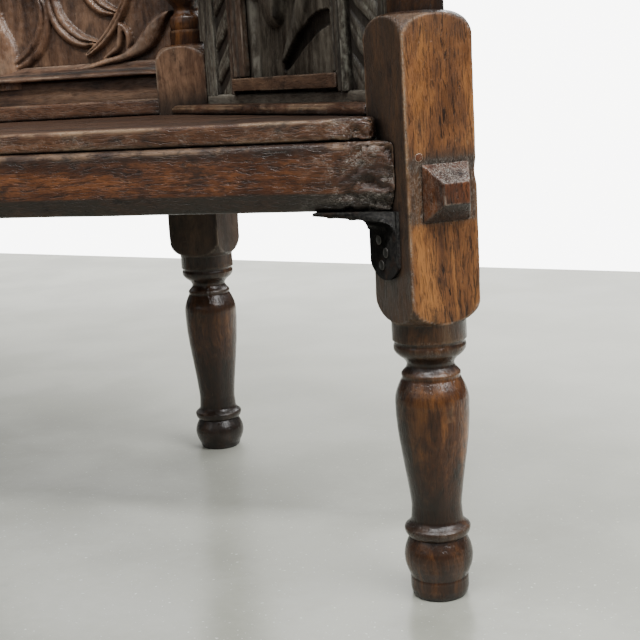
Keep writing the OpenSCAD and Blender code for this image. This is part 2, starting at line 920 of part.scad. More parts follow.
module wing_lower_rail() {
    difference() {
        union() {
            wing_piece() box([wing_start, -wing_t, rail_top], [wing_l, 0, wing_rail_top]);
            wing_lower_rail_tenons(0);
        }
        peg_set(peg_gap);
    }
}

module wing_lower_rail_right() {
    color([0.25, 0.18, 0.14]) wing_lower_rail();
}

module wing_lower_rail_left() {
    color([0.25, 0.18, 0.14]) left_side() wing_lower_rail();
}

// A stile with its raised fillet and, beside it, the channel for the carving
module stile(start, end, fillet_first) {
    channel_from = fillet_first ? start + fillet_w : start;
    channel_to = fillet_first ? end : wing_end - fillet_w;
    wing_piece() difference() {
        box([start, -wing_t, wing_rail_top], [end, 0, wing_top_low]);
        box([channel_from, -channel_d, 0], [channel_to, past, bench_top]);
    }
}

module wing_front_stile_right() {
    color([0.25, 0.18, 0.14]) stile(wing_start, mould_start, true);
}

module wing_front_stile_left() {
    color([0.25, 0.18, 0.14]) left_side() stile(wing_start, mould_start, true);
}

// The rear stile runs on beside the column, between the post's blocks
module rear_stile() {
    stile(mould_end, wing_end + wing_t, false);
    along_wing() box(
        [wing_end - past, -wing_t, block_top + fit_gap],
        [wing_end + stile_over, 0, arm_block_low - fit_gap]
    );
}

module wing_rear_stile_right() {
    color([0.25, 0.18, 0.14]) rear_stile();
}

module wing_rear_stile_left() {
    color([0.25, 0.18, 0.14]) left_side() rear_stile();
}

// The panel: a full board with a sunk field
module wing_panel() {
    face = mould_out - mould_t;
    along_wing() difference() {
        box(
            [mould_start + fit_gap, face - wing_panel_t, wing_rail_top],
            [mould_end - fit_gap, face - fit_gap, wing_top_low - fit_gap]
        );
        box(
            [panel_start + margin_w, face - field_d, sill_top],
            [panel_end - margin_w, past, wing_top_low - mould_w - margin_w]
        );
    }
}

module wing_panel_right() {
    color([0.24, 0.18, 0.15]) wing_panel();
}

module wing_panel_left() {
    color([0.24, 0.18, 0.15]) left_side() wing_panel();
}

// Section of the mouldings: a flat inner step and a raised round, drawn from the frame side
function mould_section() = [
    [0, mould_out - mould_t], [0, 0], [mould_w * 0.1, mould_out * 0.8], [mould_w * 0.3, mould_out],
    [mould_w * 0.55, mould_out], [mould_w * 0.75, mould_out - mould_fall * 0.25],
    [mould_w * 0.84, mould_out - mould_fall * 0.8], [mould_w, mould_out - mould_fall],
    [mould_w, mould_out - mould_t]
];

// The sill strip, which is let into both mouldings; they are cut for it from their lower ends up
module sill_strip(low, gap) {
    box([mould_start + sill_in, mould_out - mould_t, low], [mould_end - sill_in, sill_out, sill_top], gap);
}

module upright_moulding() {
    linear_extrude(wing_top_low - wing_rail_top - 2 * fit_gap) polygon(mould_section());
}

module mitre_space() {
    height = wing_top_low - fit_gap;
    rotate([90, 0, 0]) translate([0, 0, -far / 2]) linear_extrude(far) polygon([
        [mould_start + fit_gap, height + past], [mould_start + fit_gap, height],
        [panel_start + fit_gap, height - mould_w], [panel_end - fit_gap, height - mould_w],
        [mould_end - fit_gap, height], [mould_end - fit_gap, height + past]
    ]);
}

module wing_front_moulding() {
    along_wing() difference() {
        translate([mould_start + fit_gap, 0, wing_rail_top + fit_gap]) upright_moulding();
        mitre_space();
        sill_strip(wing_rail_top, fit_gap);
    }
}

module wing_rear_moulding() {
    along_wing() difference() {
        translate([mould_end - fit_gap, 0, wing_rail_top + fit_gap]) mirror([1, 0, 0]) upright_moulding();
        mitre_space();
        sill_strip(wing_rail_top, fit_gap);
    }
}

module wing_top_moulding() {
    along_wing() intersection() {
        translate([mould_start, 0, wing_top_low - fit_gap]) rotate([0, 90, 0])
            linear_extrude(mould_end - mould_start) polygon(mould_section());
        mitre_space();
    }
}

module wing_front_moulding_right() {
    color([0.26, 0.18, 0.15]) wing_front_moulding();
}

module wing_front_moulding_left() {
    color([0.26, 0.18, 0.15]) left_side() wing_front_moulding();
}

module wing_rear_moulding_right() {
    color([0.26, 0.18, 0.15]) wing_rear_moulding();
}

module wing_rear_moulding_left() {
    color([0.26, 0.18, 0.15]) left_side() wing_rear_moulding();
}

module wing_top_moulding_right() {
    color([0.26, 0.18, 0.15]) wing_top_moulding();
}

module wing_top_moulding_left() {
    color([0.26, 0.18, 0.15]) left_side() wing_top_moulding();
}

module wing_sill_right() {
    color([0.3, 0.19, 0.15]) along_wing() sill_strip(sill_low, 0);
}

module wing_sill_left() {
    color([0.3, 0.19, 0.15]) left_side() along_wing() sill_strip(sill_low, 0);
}

module wing_top_rail() {
    difference() {
        union() {
            wing_piece() box([wing_start, -wing_t, wing_top_low], [wing_l, 0, arm_low]);
            wing_top_rail_tenons(0);
        }
        peg_set(peg_gap);
    }
}

module wing_top_rail_right() {
    color([0.25, 0.18, 0.14]) wing_top_rail();
}

module wing_top_rail_left() {
    color([0.25, 0.18, 0.14]) left_side() wing_top_rail();
}

module wing_batten() {
    top = seat_h + batten_t;
    wing_piece() translate([wing_start, 0, 0]) rotate([90, 0, 90]) linear_extrude(wing_l) polygon([
        [fit_gap, seat_h], [batten_w, seat_h], [batten_w, top - batten_ease], [batten_w - batten_ease, top],
        [fit_gap, top]
    ]);
}

module wing_batten_right() {
    color([0.3, 0.2, 0.15]) wing_batten();
}

module wing_batten_left() {
    color([0.3, 0.2, 0.15]) left_side() wing_batten();
}

// Arms
module arm() {
    difference() {
        union() {
            along_wing() translate([0, 0, arm_low]) cylinder(r = arm_end_r, h = arm_t);
            difference() {
                along_wing() box([0, -arm_w / 2, arm_low], [wing_l, arm_w / 2, arm_top]);
                rear_block_space(fit_gap);
                box([0, rear_y - half - fit_gap, 0], [rear_x, far, bench_top]);
                box([0, rear_y - half + arm_hug, 0], [far, far, bench_top]);
            }
            arm_tenon(0);
        }
        arm_pin(fit_gap);
    }
}

module arm_right() {
    color([0.32, 0.2, 0.13]) arm();
}

module arm_left() {
    color([0.32, 0.2, 0.13]) left_side() arm();
}

// Back
module back_lower_rail() {
    color([0.24, 0.17, 0.13]) difference() {
        union() {
            box([-back_reach, back_face, rail_top], [back_reach, back_face + back_frame_t, back_rail_top]);
            back_lower_rail_tenons(0);
        }
        back_panel_tongues(fit_gap);
        peg_set(peg_gap);
        left_side() peg_set(peg_gap);
    }
}

module back_top_rail() {
    color([0.28, 0.18, 0.13]) difference() {
        union() {
            box(
                [-back_reach, back_face, back_top_rail_low],
                [back_reach, back_face + back_frame_t, back_top_rail_top]
            );
            back_top_rail_tenons(0);
        }
        back_panel_tongues(fit_gap);
        peg_set(peg_gap);
        left_side() peg_set(peg_gap);
    }
}

module back_panel() {
    color([0.32, 0.2, 0.14]) union() {
        back_panel_body(0);
        back_panel_tongues(0);
    }
}

// Section of the ogee mouldings, against the panel and over the rail's edge
module ogee() {
    back = back_face + (back_frame_t - back_panel_t) / 2 - fit_gap;
    front = back_face - ogee_out;
    rotate([90, 0, 90]) translate([0, 0, -back_reach]) linear_extrude(2 * back_reach) polygon(concat(
        [[back, 0], [front, 0], [front, ogee_lip]],
        [for (i = [0 : 8]) let (t = i / 8, s = t - sin(360 * t) / 9)
            [mix(front + 2 * quirk, back - ogee_lip, s), mix(ogee_lip + quirk, ogee_h, t)]],
        [[back, ogee_h]]
    ));
}

module back_lower_moulding() {
    color([0.3, 0.19, 0.13]) translate([0, 0, back_rail_top]) ogee();
}

module back_upper_moulding() {
    color([0.3, 0.19, 0.13]) translate([0, 0, back_top_rail_low]) mirror([0, 0, 1]) ogee();
}

module back_cap() {
    front = back_face - cap_over;
    back = back_face + back_frame_t;
    low = back_top_rail_top;
    color([0.3, 0.19, 0.13]) rotate([90, 0, 90]) translate([0, 0, -back_reach]) linear_extrude(2 * back_reach)
        polygon([
            [front + cap_over / 2, low], [front, low + cap_h * 0.3], [front, low + cap_h * 0.6],
            [back_face, low + cap_h], [back, low + cap_h], [back, low]
        ]);
}

module back_batten() {
    color([0.3, 0.2, 0.14]) box(
        [-back_reach, back_face - back_batten_d, seat_h],
        [back_reach, back_face - fit_gap, seat_h + back_batten_h]
    );
}

front_post_right();
front_post_left();
rear_post_right();
rear_post_left();
front_seat_rail();
back_seat_rail();
side_seat_rail_right();
side_seat_rail_left();
seat_bearer_right();
seat_bearer_centre();
seat_bearer_left();
seat_board_front();
seat_board_middle();
seat_board_back();
boss_right();
boss_left();
bracket_right();
bracket_left();
bracket_nails();
joint_pegs();
wing_lower_rail_right();
wing_lower_rail_left();
wing_front_stile_right();
wing_front_stile_left();
wing_rear_stile_right();
wing_rear_stile_left();
wing_panel_right();
wing_panel_left();
wing_front_moulding_right();
wing_front_moulding_left();
wing_rear_moulding_right();
wing_rear_moulding_left();
wing_top_moulding_right();
wing_top_moulding_left();
wing_sill_right();
wing_sill_left();
wing_top_rail_right();
wing_top_rail_left();
wing_batten_right();
wing_batten_left();
arm_right();
arm_left();
back_lower_rail();
back_lower_moulding();
back_panel();
back_upper_moulding();
back_top_rail();
back_cap();
back_batten();
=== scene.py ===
"""Looks of a half-octagon oak hall bench: turned legs, a worn plank seat, carved wings and a carved back.

Everything is in the bench's own frame: X along the front rail, Y towards the back, Z up. Lengths are in
metres, and in millimetres where a carving is drawn.
"""

import math

import bmesh
import bpy
import numpy as np
from mathutils import Matrix, Vector, noise
from mathutils.bvhtree import BVHTree
from mathutils.kdtree import KDTree


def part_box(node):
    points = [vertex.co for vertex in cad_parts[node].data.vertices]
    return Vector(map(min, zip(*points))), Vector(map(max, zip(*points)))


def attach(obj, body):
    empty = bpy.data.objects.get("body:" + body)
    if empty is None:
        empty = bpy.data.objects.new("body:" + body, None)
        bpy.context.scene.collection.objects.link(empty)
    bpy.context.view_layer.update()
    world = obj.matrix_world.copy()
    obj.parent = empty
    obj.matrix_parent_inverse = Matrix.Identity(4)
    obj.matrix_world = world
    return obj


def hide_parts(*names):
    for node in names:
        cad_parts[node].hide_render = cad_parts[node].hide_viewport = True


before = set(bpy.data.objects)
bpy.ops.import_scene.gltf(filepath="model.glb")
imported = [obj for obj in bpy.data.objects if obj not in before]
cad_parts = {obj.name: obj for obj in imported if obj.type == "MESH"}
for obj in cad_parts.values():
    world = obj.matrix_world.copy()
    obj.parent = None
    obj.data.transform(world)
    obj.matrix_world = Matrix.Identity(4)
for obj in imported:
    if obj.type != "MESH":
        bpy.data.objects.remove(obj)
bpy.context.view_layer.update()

MM = 0.001


def axis_of(node):
    """Centre of a post's box, which is its axis."""
    low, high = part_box(node)
    return (low + high) / 2


FRONT = axis_of("front_post_right").xy
REAR = axis_of("rear_post_right").xy
ALONG = (REAR - FRONT).normalized()
# The right wing's own frame: X along the wing from the front post's axis, Y into the bench
WING = Matrix((
    (ALONG.x, -ALONG.y, 0, FRONT.x), (ALONG.y, ALONG.x, 0, FRONT.y), (0, 0, 1, 0), (0, 0, 0, 1),
))
MIRROR = Matrix.Diagonal((-1, 1, 1, 1))


def wing_box(node):
    """Lowest and highest corners of a right wing's node in the wing's own frame."""
    back = WING.inverted()
    points = [back @ v.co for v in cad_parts[node].data.vertices]
    return [min(p[i] for p in points) for i in range(3)], [max(p[i] for p in points) for i in range(3)]


# ---- Camera, light and floor

# The photograph's camera: its frame and lens in pixels, how it is tilted, leant and turned, and how far it
# stands from the right front post's axis and from the floor
FRAME_PX, LENS_PX = 640, 1237.2
PITCH, ROLL, TURN = (math.radians(angle) for angle in (11.164, 3.466, 20.288))
EYE_OFFSET, EYE_HEIGHT = Vector((0.3128, -1.1532)), 0.5257

# The floor's size and turn, the middle of its far edge from the right front post's axis, and the places
# between which painted light makes it lighter, as shares of its depth from its middle
FLOOR_SIZE = (16, 6, 1)
FLOOR_TURN = math.radians(-11.0)
FAR_EDGE_X, FAR_EDGE_Y = -0.8, 2.131
FLOOR_LIGHT_FROM, FLOOR_LIGHT_TO = 0.08, 0.48


def make_camera():
    """The photograph's view: a little above the seat, in front of the right front post."""
    data = bpy.data.cameras.new("camera")
    data.sensor_width = 36
    data.lens = LENS_PX / FRAME_PX * data.sensor_width
    camera = bpy.data.objects.new("camera", data)
    bpy.context.scene.collection.objects.link(camera)
    ahead = Vector((-math.sin(TURN) * math.cos(PITCH), math.cos(TURN) * math.cos(PITCH), -math.sin(PITCH)))
    right = Vector((math.cos(TURN), math.sin(TURN), 0))
    up = right.cross(ahead)
    right, up = math.cos(ROLL) * right - math.sin(ROLL) * up, math.sin(ROLL) * right + math.cos(ROLL) * up
    place = FRONT + EYE_OFFSET
    camera.matrix_world = Matrix((
        (right.x, up.x, -ahead.x, place.x), (right.y, up.y, -ahead.y, place.y),
        (right.z, up.z, -ahead.z, EYE_HEIGHT), (0, 0, 0, 1),
    ))
    bpy.context.scene.camera = camera


def area_light(name, place, target, size, power):
    """A white rectangular lamp at place that faces target."""
    data = bpy.data.lights.new(name, "AREA")
    data.shape = "RECTANGLE"
    data.size, data.size_y = size
    data.energy = power
    lamp = bpy.data.objects.new(name, data)
    bpy.context.scene.collection.objects.link(lamp)
    lamp.location = place
    lamp.rotation_euler = (Vector(target) - Vector(place)).to_track_quat("-Z", "Y").to_euler()


def make_sky(light, wall):
    """Soft light that is stronger from above, in front of a wall that looks white."""
    world = bpy.context.scene.world or bpy.data.worlds.new("world")
    bpy.context.scene.world = world
    world.use_nodes = True
    tree = world.node_tree
    tree.nodes.clear()
    direction = node(tree, "ShaderNodeTexCoord").outputs["Generated"]
    height = node(tree, "ShaderNodeSeparateXYZ", {0: direction}).outputs[2]
    power = span(tree, height, 0.0, 0.9, light * 0.24, light * 3.5)
    white = shade((1, 1, 0.985))
    soft = node(tree, "ShaderNodeBackground", {"Color": white, "Strength": power})
    bright = node(tree, "ShaderNodeBackground", {"Color": white, "Strength": wall})
    seen = node(tree, "ShaderNodeLightPath").outputs["Is Camera Ray"]
    both = node(tree, "ShaderNodeMixShader", {0: seen, 1: soft.outputs[0], 2: bright.outputs[0]})
    node(tree, "ShaderNodeOutputWorld", {0: both.outputs[0]})


# ---- Materials


def node(tree, kind, inputs=None, **settings):
    """A shader node with its settings, and its sockets set to values or joined to other nodes."""
    made = tree.nodes.new(kind)
    for key, value in settings.items():
        setattr(made, key, value)
    for key, value in (inputs or {}).items():
        if isinstance(value, bpy.types.NodeSocket):
            tree.links.new(value, made.inputs[key])
        else:
            made.inputs[key].default_value = value
    return made


def grain_at(tree, turn=(0, 0, 0), scale=(1, 1, 1), shift=(0, 0, 0)):
    """The bench's own coordinates, turned so that the grain runs along X, and then stretched."""
    place = node(tree, "ShaderNodeTexCoord").outputs["Object"]
    turned = node(tree, "ShaderNodeMapping", {"Vector": place, "Rotation": turn, "Location": shift})
    return node(tree, "ShaderNodeMapping", {"Vector": turned.outputs[0], "Scale": scale}).outputs[0]


def cloud(tree, vector, detail, rough=0.5, warp=0.0):
    """Noise from 0 to 1."""
    return node(tree, "ShaderNodeTexNoise", {
        "Vector": vector, "Scale": 1.0, "Detail": detail, "Roughness": rough, "Distortion": warp,
    }).outputs[0]


def span(tree, value, low, high, start=0.0, end=1.0):
    """Maps value from the range low to high onto start to end, smoothly and clamped."""
    return node(tree, "ShaderNodeMapRange", {
        0: value, 1: low, 2: high, 3: start, 4: end,
    }, interpolation_type="SMOOTHSTEP").outputs[0]


def calc(tree, operation, a, b):
    return node(tree, "ShaderNodeMath", {0: a, 1: b}, operation=operation).outputs[0]


def times(tree, a, b):
    return calc(tree, "MULTIPLY", a, b)


def plus(tree, a, b):
    return calc(tree, "ADD", a, b)


def blend(tree, factor, a, b):
    """The colour a, going over to the colour b as factor goes from 0 to 1."""
    return node(tree, "ShaderNodeMix", {0: factor, 6: a, 7: b}, data_type="RGBA").outputs[2]


def shade(value):
    """A colour as a shader socket wants it."""
    return (*value, 1.0)


def painted(tree, name):
    """A value from 0 to 1 that the mesh carries at each corner point."""
    return node(tree, "ShaderNodeAttribute", attribute_name=name).outputs["Fac"]


def crevice(tree, reach):
    """0 in narrow corners and 1 in the open."""
    return node(tree, "ShaderNodeAmbientOcclusion", {"Distance": reach}, samples=6).outputs["AO"]


# Colours of what lies on the wood, and of the shade painted into its narrow corners
DUST, DIRT, CORNER_GRIME_AND_SHADE, SCRATCH = (
    (0.27, 0.265, 0.215), (0.007, 0.005, 0.004), (0.006, 0.0045, 0.004), (0.31, 0.282, 0.246),
)


def new_material(name, metal=0.0, specular=0.5, coat=0.0, coat_rough=0.2):
    """A material with an empty principled shader, its node tree and that shader."""
    material = bpy.data.materials.new(name)
    material.use_nodes = True
    tree = material.node_tree
    tree.nodes.clear()
    shader = node(tree, "ShaderNodeBsdfPrincipled", {
        "Metallic": metal, "Specular IOR Level": specular, "Coat Weight": coat, "Coat Roughness": coat_rough,
    })
    output = node(tree, "ShaderNodeOutputMaterial")
    tree.links.new(shader.outputs[0], output.inputs[0])
    return material, tree, shader


def finish_material(tree, shader, colour, rough, height, bump, depth=MM):
    tree.links.new(colour, shader.inputs["Base Color"])
    tree.links.new(rough, shader.inputs["Roughness"])
    raised = node(tree, "ShaderNodeBump", {"Height": height, "Strength": bump, "Distance": depth})
    tree.links.new(raised.outputs[0], shader.inputs["Normal"])
    tree.links.new(raised.outputs[0], shader.inputs["Coat Normal"])


def oak(
    name, tones, turn, shift=(0, 0, 0), wear=1.0, grime=1.0, gloss=0.4, fleck=1.0, dust=0.0, specular=0.25,
    coat=0.05, bump=0.55, grit=0.0, coat_rough=0.2, soot_and_shade=(0.023, 0.0185, 0.015), scratched=0.46,
):
    """Old waxed oak with grain along X after turn: streaks, dark flecks, grime, painted shade, rubbed edges
    and dust.

    The mesh's own values wear, smoke and chalk say where it is rubbed bare, blackened and scratched pale;
    in places the blackening is painted shade. wear, grime, fleck, dust and grit are amounts, and grime also
    sets the shade painted into narrow corners; gloss is how rough the wax is, soot the colour of all the
    blackening, the real and the painted shade, and scratched how few the scratches are.
    """
    dark, middle, light, worn = tones
    material, tree, shader = new_material(name, specular=specular, coat=coat, coat_rough=coat_rough)
    straight = grain_at(tree, turn, shift=shift)
    # The grain wanders from straight by up to 10 mm
    drift = node(tree, "ShaderNodeTexNoise", {"Vector": straight, "Scale": 9.0, "Detail": 5.0})
    drift = node(tree, "ShaderNodeMapping", {
        "Vector": drift.outputs["Color"], "Location": (-10 * MM,) * 3, "Scale": (20 * MM,) * 3,
    })
    grain = node(tree, "ShaderNodeVectorMath", {0: straight, 1: drift.outputs[0]}).outputs[0]

    def noise_over(scale, *how):
        stretched = node(tree, "ShaderNodeMapping", {"Vector": grain, "Scale": scale})
        return cloud(tree, stretched.outputs[0], *how)

    broad = noise_over((3, 13, 13), 4, 0.55, 0.8)
    streaks = noise_over((6, 80, 80), 5, 0.6, 0.35)
    flecks = noise_over((52, 380, 380), 3, 0.6, 0.5)
    fibres = noise_over((60, 800, 800), 3, 0.6)
    blotch = noise_over((17, 30, 30), 8, 0.7)
    patches = noise_over((38, 62, 62), 5, 0.65, 0.6)
    specks = noise_over((130, 210, 210), 4, 0.62)

    # The wood, with its pores and dark flecks
    tone = plus(tree, times(tree, broad, 0.45), times(tree, streaks, 0.3))
    tone = plus(tree, tone, times(tree, patches, 0.25))
    ramp = node(tree, "ShaderNodeValToRGB", {0: tone})
    stops = ramp.color_ramp.elements
    stops[0].position, stops[0].color = 0.39, shade(dark)
    stops[1].position, stops[1].color = 0.61, shade(light)
    stops.new(0.5).color = shade(middle)
    colour = ramp.outputs[0]
    deep = shade([c * 0.25 for c in dark])
    crowded = times(tree, span(tree, flecks, 0.55, 0.66), span(tree, broad, 0.36, 0.6, 1.0, 0.35))
    colour = blend(tree, times(tree, span(tree, fibres, 0.5, 0.62), 0.5 * fleck), colour, deep)
    colour = blend(tree, times(tree, crowded, 0.85 * fleck), colour, deep)

    # Where it is rubbed bare
    edge = times(tree, painted(tree, "wear"), span(tree, blotch, 0.42, 0.6))
    scuff = times(tree, span(tree, specks, 0.63, 0.72), span(tree, blotch, 0.5, 0.62))
    bare = calc(tree, "MAXIMUM", times(tree, edge, wear), times(tree, scuff, 0.55 * wear))
    colour = blend(tree, calc(tree, "MINIMUM", bare, 1.0), colour, shade(worn))

    # What lies on it, with shade painted into its narrow corners
    if dust:
        lying = times(tree, span(tree, specks, 0.42, 0.66), span(tree, streaks, 0.4, 0.62))
        colour = blend(tree, times(tree, lying, dust), colour, shade(DUST))
    # Blackening from the mesh's smoke value: smoke, and on some pieces painted shade and shadow
    smoke_and_shade = times(tree, painted(tree, "smoke_and_shade"), span(tree, blotch, 0.66, 0.36, 0.82, 1.0))
    colour = blend(tree, times(tree, smoke_and_shade, 0.98), colour, shade(soot_and_shade))
    dirt = times(tree, span(tree, blotch, 0.54, 0.68), 0.8 * grime)
    colour = blend(tree, dirt, colour, shade(DIRT))
    # Painted shade, with some grime: narrow corners and spots near other parts, found by ambient occlusion,
    # are darkened
    corner = span(tree, crevice(tree, 0.018), 0.3, 0.92, 0.9 * grime, 0.0)
    colour = blend(tree, corner, colour, shade(CORNER_GRIME_AND_SHADE))
    scratch = noise_over((300, 520, 520), 4, 0.7, 1.5)
    scarred = span(tree, patches, scratched, scratched + 0.14)
    pale = times(tree, times(tree, span(tree, scratch, 0.46, 0.64), scarred), painted(tree, "chalk"))
    colour = blend(tree, times(tree, pale, 0.85), colour, shade(SCRATCH))

    matt = plus(tree, blotch, times(tree, fibres, 0.4))
    rough = span(tree, matt, 0.4, 1.0, gloss - 0.16, gloss + 0.24)
    relief = times(tree, fibres, -0.5)
    for layer, rise in ((span(tree, flecks, 0.5, 0.68), -0.7), (specks, 0.4), (broad, 1.5)):
        relief = plus(tree, relief, times(tree, layer, rise))
    if grit:
        relief = plus(tree, relief, times(tree, noise_over((420, 640, 640), 3, 0.6), grit))
    finish_material(tree, shader, colour, rough, relief, bump, 0.8 * MM)
    return material


def iron(name):
    """Black forged iron: hammered, pitted, with rust in the hollows and a bright worn edge."""
    material, tree, shader = new_material(name, metal=0.75)
    hammer = cloud(tree, grain_at(tree, scale=(70,) * 3), 3)
    pits = cloud(tree, grain_at(tree, scale=(420,) * 3), 4, 0.65)
    scale, open_metal = shade((0.014, 0.0135, 0.013)), shade((0.05, 0.047, 0.042))
    colour = blend(tree, span(tree, pits, 0.4, 0.7), scale, open_metal)
    rust = times(tree, span(tree, hammer, 0.52, 0.7), 0.35)
    colour = blend(tree, rust, colour, shade((0.07, 0.032, 0.016)))
    colour = blend(tree, times(tree, painted(tree, "wear"), 0.45), colour, shade((0.17, 0.16, 0.15)))
    rough = span(tree, pits, 0.35, 0.7, 0.38, 0.72)
    height = plus(tree, hammer, times(tree, pits, 0.35))
    finish_material(tree, shader, colour, rough, height, 0.8, 0.9 * MM)
    return material


def concrete(name):
    """Pale, plain, softly mottled floor with a low sheen, made lighter towards the wall by painted light."""
    material, tree, shader = new_material(name, specular=0.35)
    wide, fine, grit = (
        cloud(tree, grain_at(tree, scale=[size * scale for size in FLOOR_SIZE]), *how)
        for scale, how in ((5, (5, 0.55, 0.2)), (60, (5, 0.6)), (210, (2,)))
    )
    tone = plus(tree, times(tree, wide, 0.8), times(tree, fine, 0.2))
    mottled = span(tree, tone, 0.38, 0.62)
    colour = blend(tree, mottled, shade((0.215, 0.22, 0.182)), shade((0.27, 0.275, 0.232)))
    colour = blend(tree, span(tree, grit, 0.67, 0.74, 0.0, 0.6), colour, shade((0.75, 0.75, 0.7)))
    # Painted light: towards the wall the colour goes over to near white
    ahead = node(tree, "ShaderNodeSeparateXYZ", {0: grain_at(tree)}).outputs[1]
    colour = blend(tree, span(tree, ahead, FLOOR_LIGHT_FROM, FLOOR_LIGHT_TO), colour, shade((0.95, 0.955, 0.87)))
    finish_material(tree, shader, colour, span(tree, wide, 0.35, 0.65, 0.2, 0.27), fine, 0.1)
    return material


# How the grain is turned: up, along the bench and along the right wing
UPRIGHT = (0, math.pi / 2, 0)
LENGTHWISE = (0, 0, 0)
WING_TURN = (0, 0, -math.atan2(ALONG.y, ALONG.x))
# Tones of the oak: dark, middle and light wood, and where it is rubbed bare
AMBER = ((0.062, 0.023, 0.009), (0.18, 0.07, 0.0225), (0.35, 0.146, 0.042), (0.5, 0.28, 0.13))
CHESTNUT = ((0.015, 0.0055, 0.0035), (0.066, 0.023, 0.0105), (0.22, 0.078, 0.027), (0.4, 0.24, 0.14))
UMBER = ((0.026, 0.0115, 0.0065), (0.08, 0.034, 0.017), (0.17, 0.075, 0.036), (0.38, 0.25, 0.145))
GINGER = ((0.02, 0.007, 0.0035), (0.105, 0.033, 0.012), (0.27, 0.088, 0.026), (0.55, 0.46, 0.37))
TREACLE = ((0.011, 0.0042, 0.002), (0.068, 0.023, 0.0075), (0.25, 0.094, 0.024), (0.36, 0.22, 0.12))
SLATE = ((0.024, 0.0195, 0.015), (0.088, 0.075, 0.058), (0.19, 0.168, 0.133), (0.38, 0.36, 0.3))
RUSSET = ((0.042, 0.02, 0.012), (0.155, 0.083, 0.049), (0.32, 0.182, 0.106), (0.46, 0.34, 0.24))
FALLOW = ((0.032, 0.0185, 0.013), (0.085, 0.054, 0.037), (0.18, 0.122, 0.083), (0.42, 0.34, 0.27))

POST_OAK = oak(
    "post_oak", AMBER, UPRIGHT, gloss=0.42, fleck=1.25, specular=0.3, bump=0.9, soot_and_shade=(0.03, 0.0245, 0.02),
    scratched=0.32,
)
LEG_OAK = oak(
    "leg_oak", TREACLE, UPRIGHT, shift=(0.35, 0, 0.2), gloss=0.42, fleck=0.7, specular=0.08, coat=0.75,
    coat_rough=0.12, bump=0.42, grit=0.36, soot_and_shade=(0.011, 0.008, 0.0062),
)
REAR_OAK = oak("rear_oak", RUSSET, UPRIGHT, shift=(0.55, 0.3, 0.1), grime=0.7, gloss=0.36, fleck=0.6)
BOSS_OAK = oak(
    "boss_oak", GINGER, UPRIGHT, shift=(0.2, 0.6, 0.1), grime=0.6, gloss=0.36, specular=0.4,
    bump=0.8, scratched=0.32, soot_and_shade=(0.008, 0.0062, 0.005),
)
RAIL_OAK = oak(
    "rail_oak", CHESTNUT, LENGTHWISE, shift=(0.3, 0.2, 0.1), gloss=0.34, fleck=1.3, specular=0.4, bump=0.75,
    scratched=0.49,
)
SEAT_OAK = oak(
    "seat_oak", UMBER, LENGTHWISE, shift=(1.3, 0.7, 0.4), wear=0.8, gloss=0.34, specular=0.4, bump=0.7,
)
ARM_OAK = oak("arm_oak", CHESTNUT, WING_TURN, shift=(0.5, 0.1, 0.7), gloss=0.34)
BATTEN_OAK = oak("batten_oak", UMBER, WING_TURN, shift=(0.9, 0.3, 0.2), wear=0.7)
WING_OAK = oak(
    "wing_oak", SLATE, WING_TURN, shift=(0.1, 0.5, 0.9), wear=0.6, grime=0.6, dust=0.12, specular=0.35,
)
# Its near-black soot colour makes the painted shade in the leaf's scoop black
PANEL_OAK = oak(
    "panel_oak", SLATE, UPRIGHT, shift=(0.4, 0.1, 0.6), wear=0.7, grime=0.7, fleck=0.4, dust=0.1,
    specular=0.08, soot_and_shade=(0.0035, 0.003, 0.0025),
)
STILE_OAK = oak("stile_oak", SLATE, UPRIGHT, shift=(0.7, 0.2, 0.3), grime=0.9, dust=0.7)
MOULD_OAK = oak("mould_oak", FALLOW, UPRIGHT, shift=(0.3, 0.9, 0.5), grime=0.8, dust=0.5)
SILL_OAK = oak("sill_oak", RUSSET, WING_TURN, shift=(0.2, 0.8, 0.5), wear=0.7, gloss=0.42, fleck=0.6)
BACK_OAK = oak(
    "back_oak", RUSSET, LENGTHWISE, shift=(0.6, 0.4, 0.2), wear=0.7, grime=0.6, fleck=0.6, dust=0.1,
    specular=0.4,
)
CARVED_OAK = oak(
    "carved_oak", RUSSET, UPRIGHT, shift=(0.8, 0.5, 0.1), grime=0.6, gloss=0.27, fleck=0.4, specular=0.5,
)
IRON = iron("forged_iron")
CONCRETE = concrete("concrete")


# ---- Shapes


def soft_min(a, b, blend_width):
    """The smaller of two arrays, rounded where they cross."""
    near = np.maximum(blend_width - np.abs(a - b), 0) / blend_width
    return np.minimum(a, b) - near * near * blend_width / 4


def hump(value, at, width):
    """1 where value is at, and falling to 0 within about twice the width on both sides."""
    return np.exp(-np.square((value - at) / width))


def lumps(points, size, seed):
    """Smooth noise from about -1 to 1 at each point; size is the distance between lumps."""
    return np.array([noise.noise(Vector((p[0] / size + seed, p[1] / size, p[2] / size))) for p in points])


def paint(mesh, name, values):
    """Gives each of the mesh's points a value that the materials read."""
    layer = mesh.attributes.new(name, "FLOAT", "POINT")
    layer.data.foreach_set("value", np.asarray(values, np.float32))


def new_piece(name, mesh, material, nodes, smooth=40):
    """A visible piece on the bench's body, in place of the nodes; edges over smooth degrees stay sharp."""
    piece = bpy.data.objects.new(name, mesh)
    bpy.context.scene.collection.objects.link(piece)
    for used in material if isinstance(material, tuple) else (material,):
        mesh.materials.append(used)
    mesh.shade_smooth()
    mesh.set_sharp_from_angle(angle=math.radians(smooth))
    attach(piece, "root")
    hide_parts(*nodes)
    return piece


def pair(name, mesh, material, node_name, smooth=40):
    """A piece of the right side and its mirror image on the left."""
    other = mesh.copy()
    other.transform(MIRROR)
    other.flip_normals()
    new_piece(name + "_right", mesh, material, [node_name + "_right"], smooth)
    new_piece(name + "_left", other, material, [node_name + "_left"], smooth)


def solid_tree(node_name):
    """The node's solid, ready to be hit by rays."""
    form = bmesh.new()
    form.from_mesh(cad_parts[node_name].data)
    tree = BVHTree.FromBMesh(form)
    form.free()
    return tree


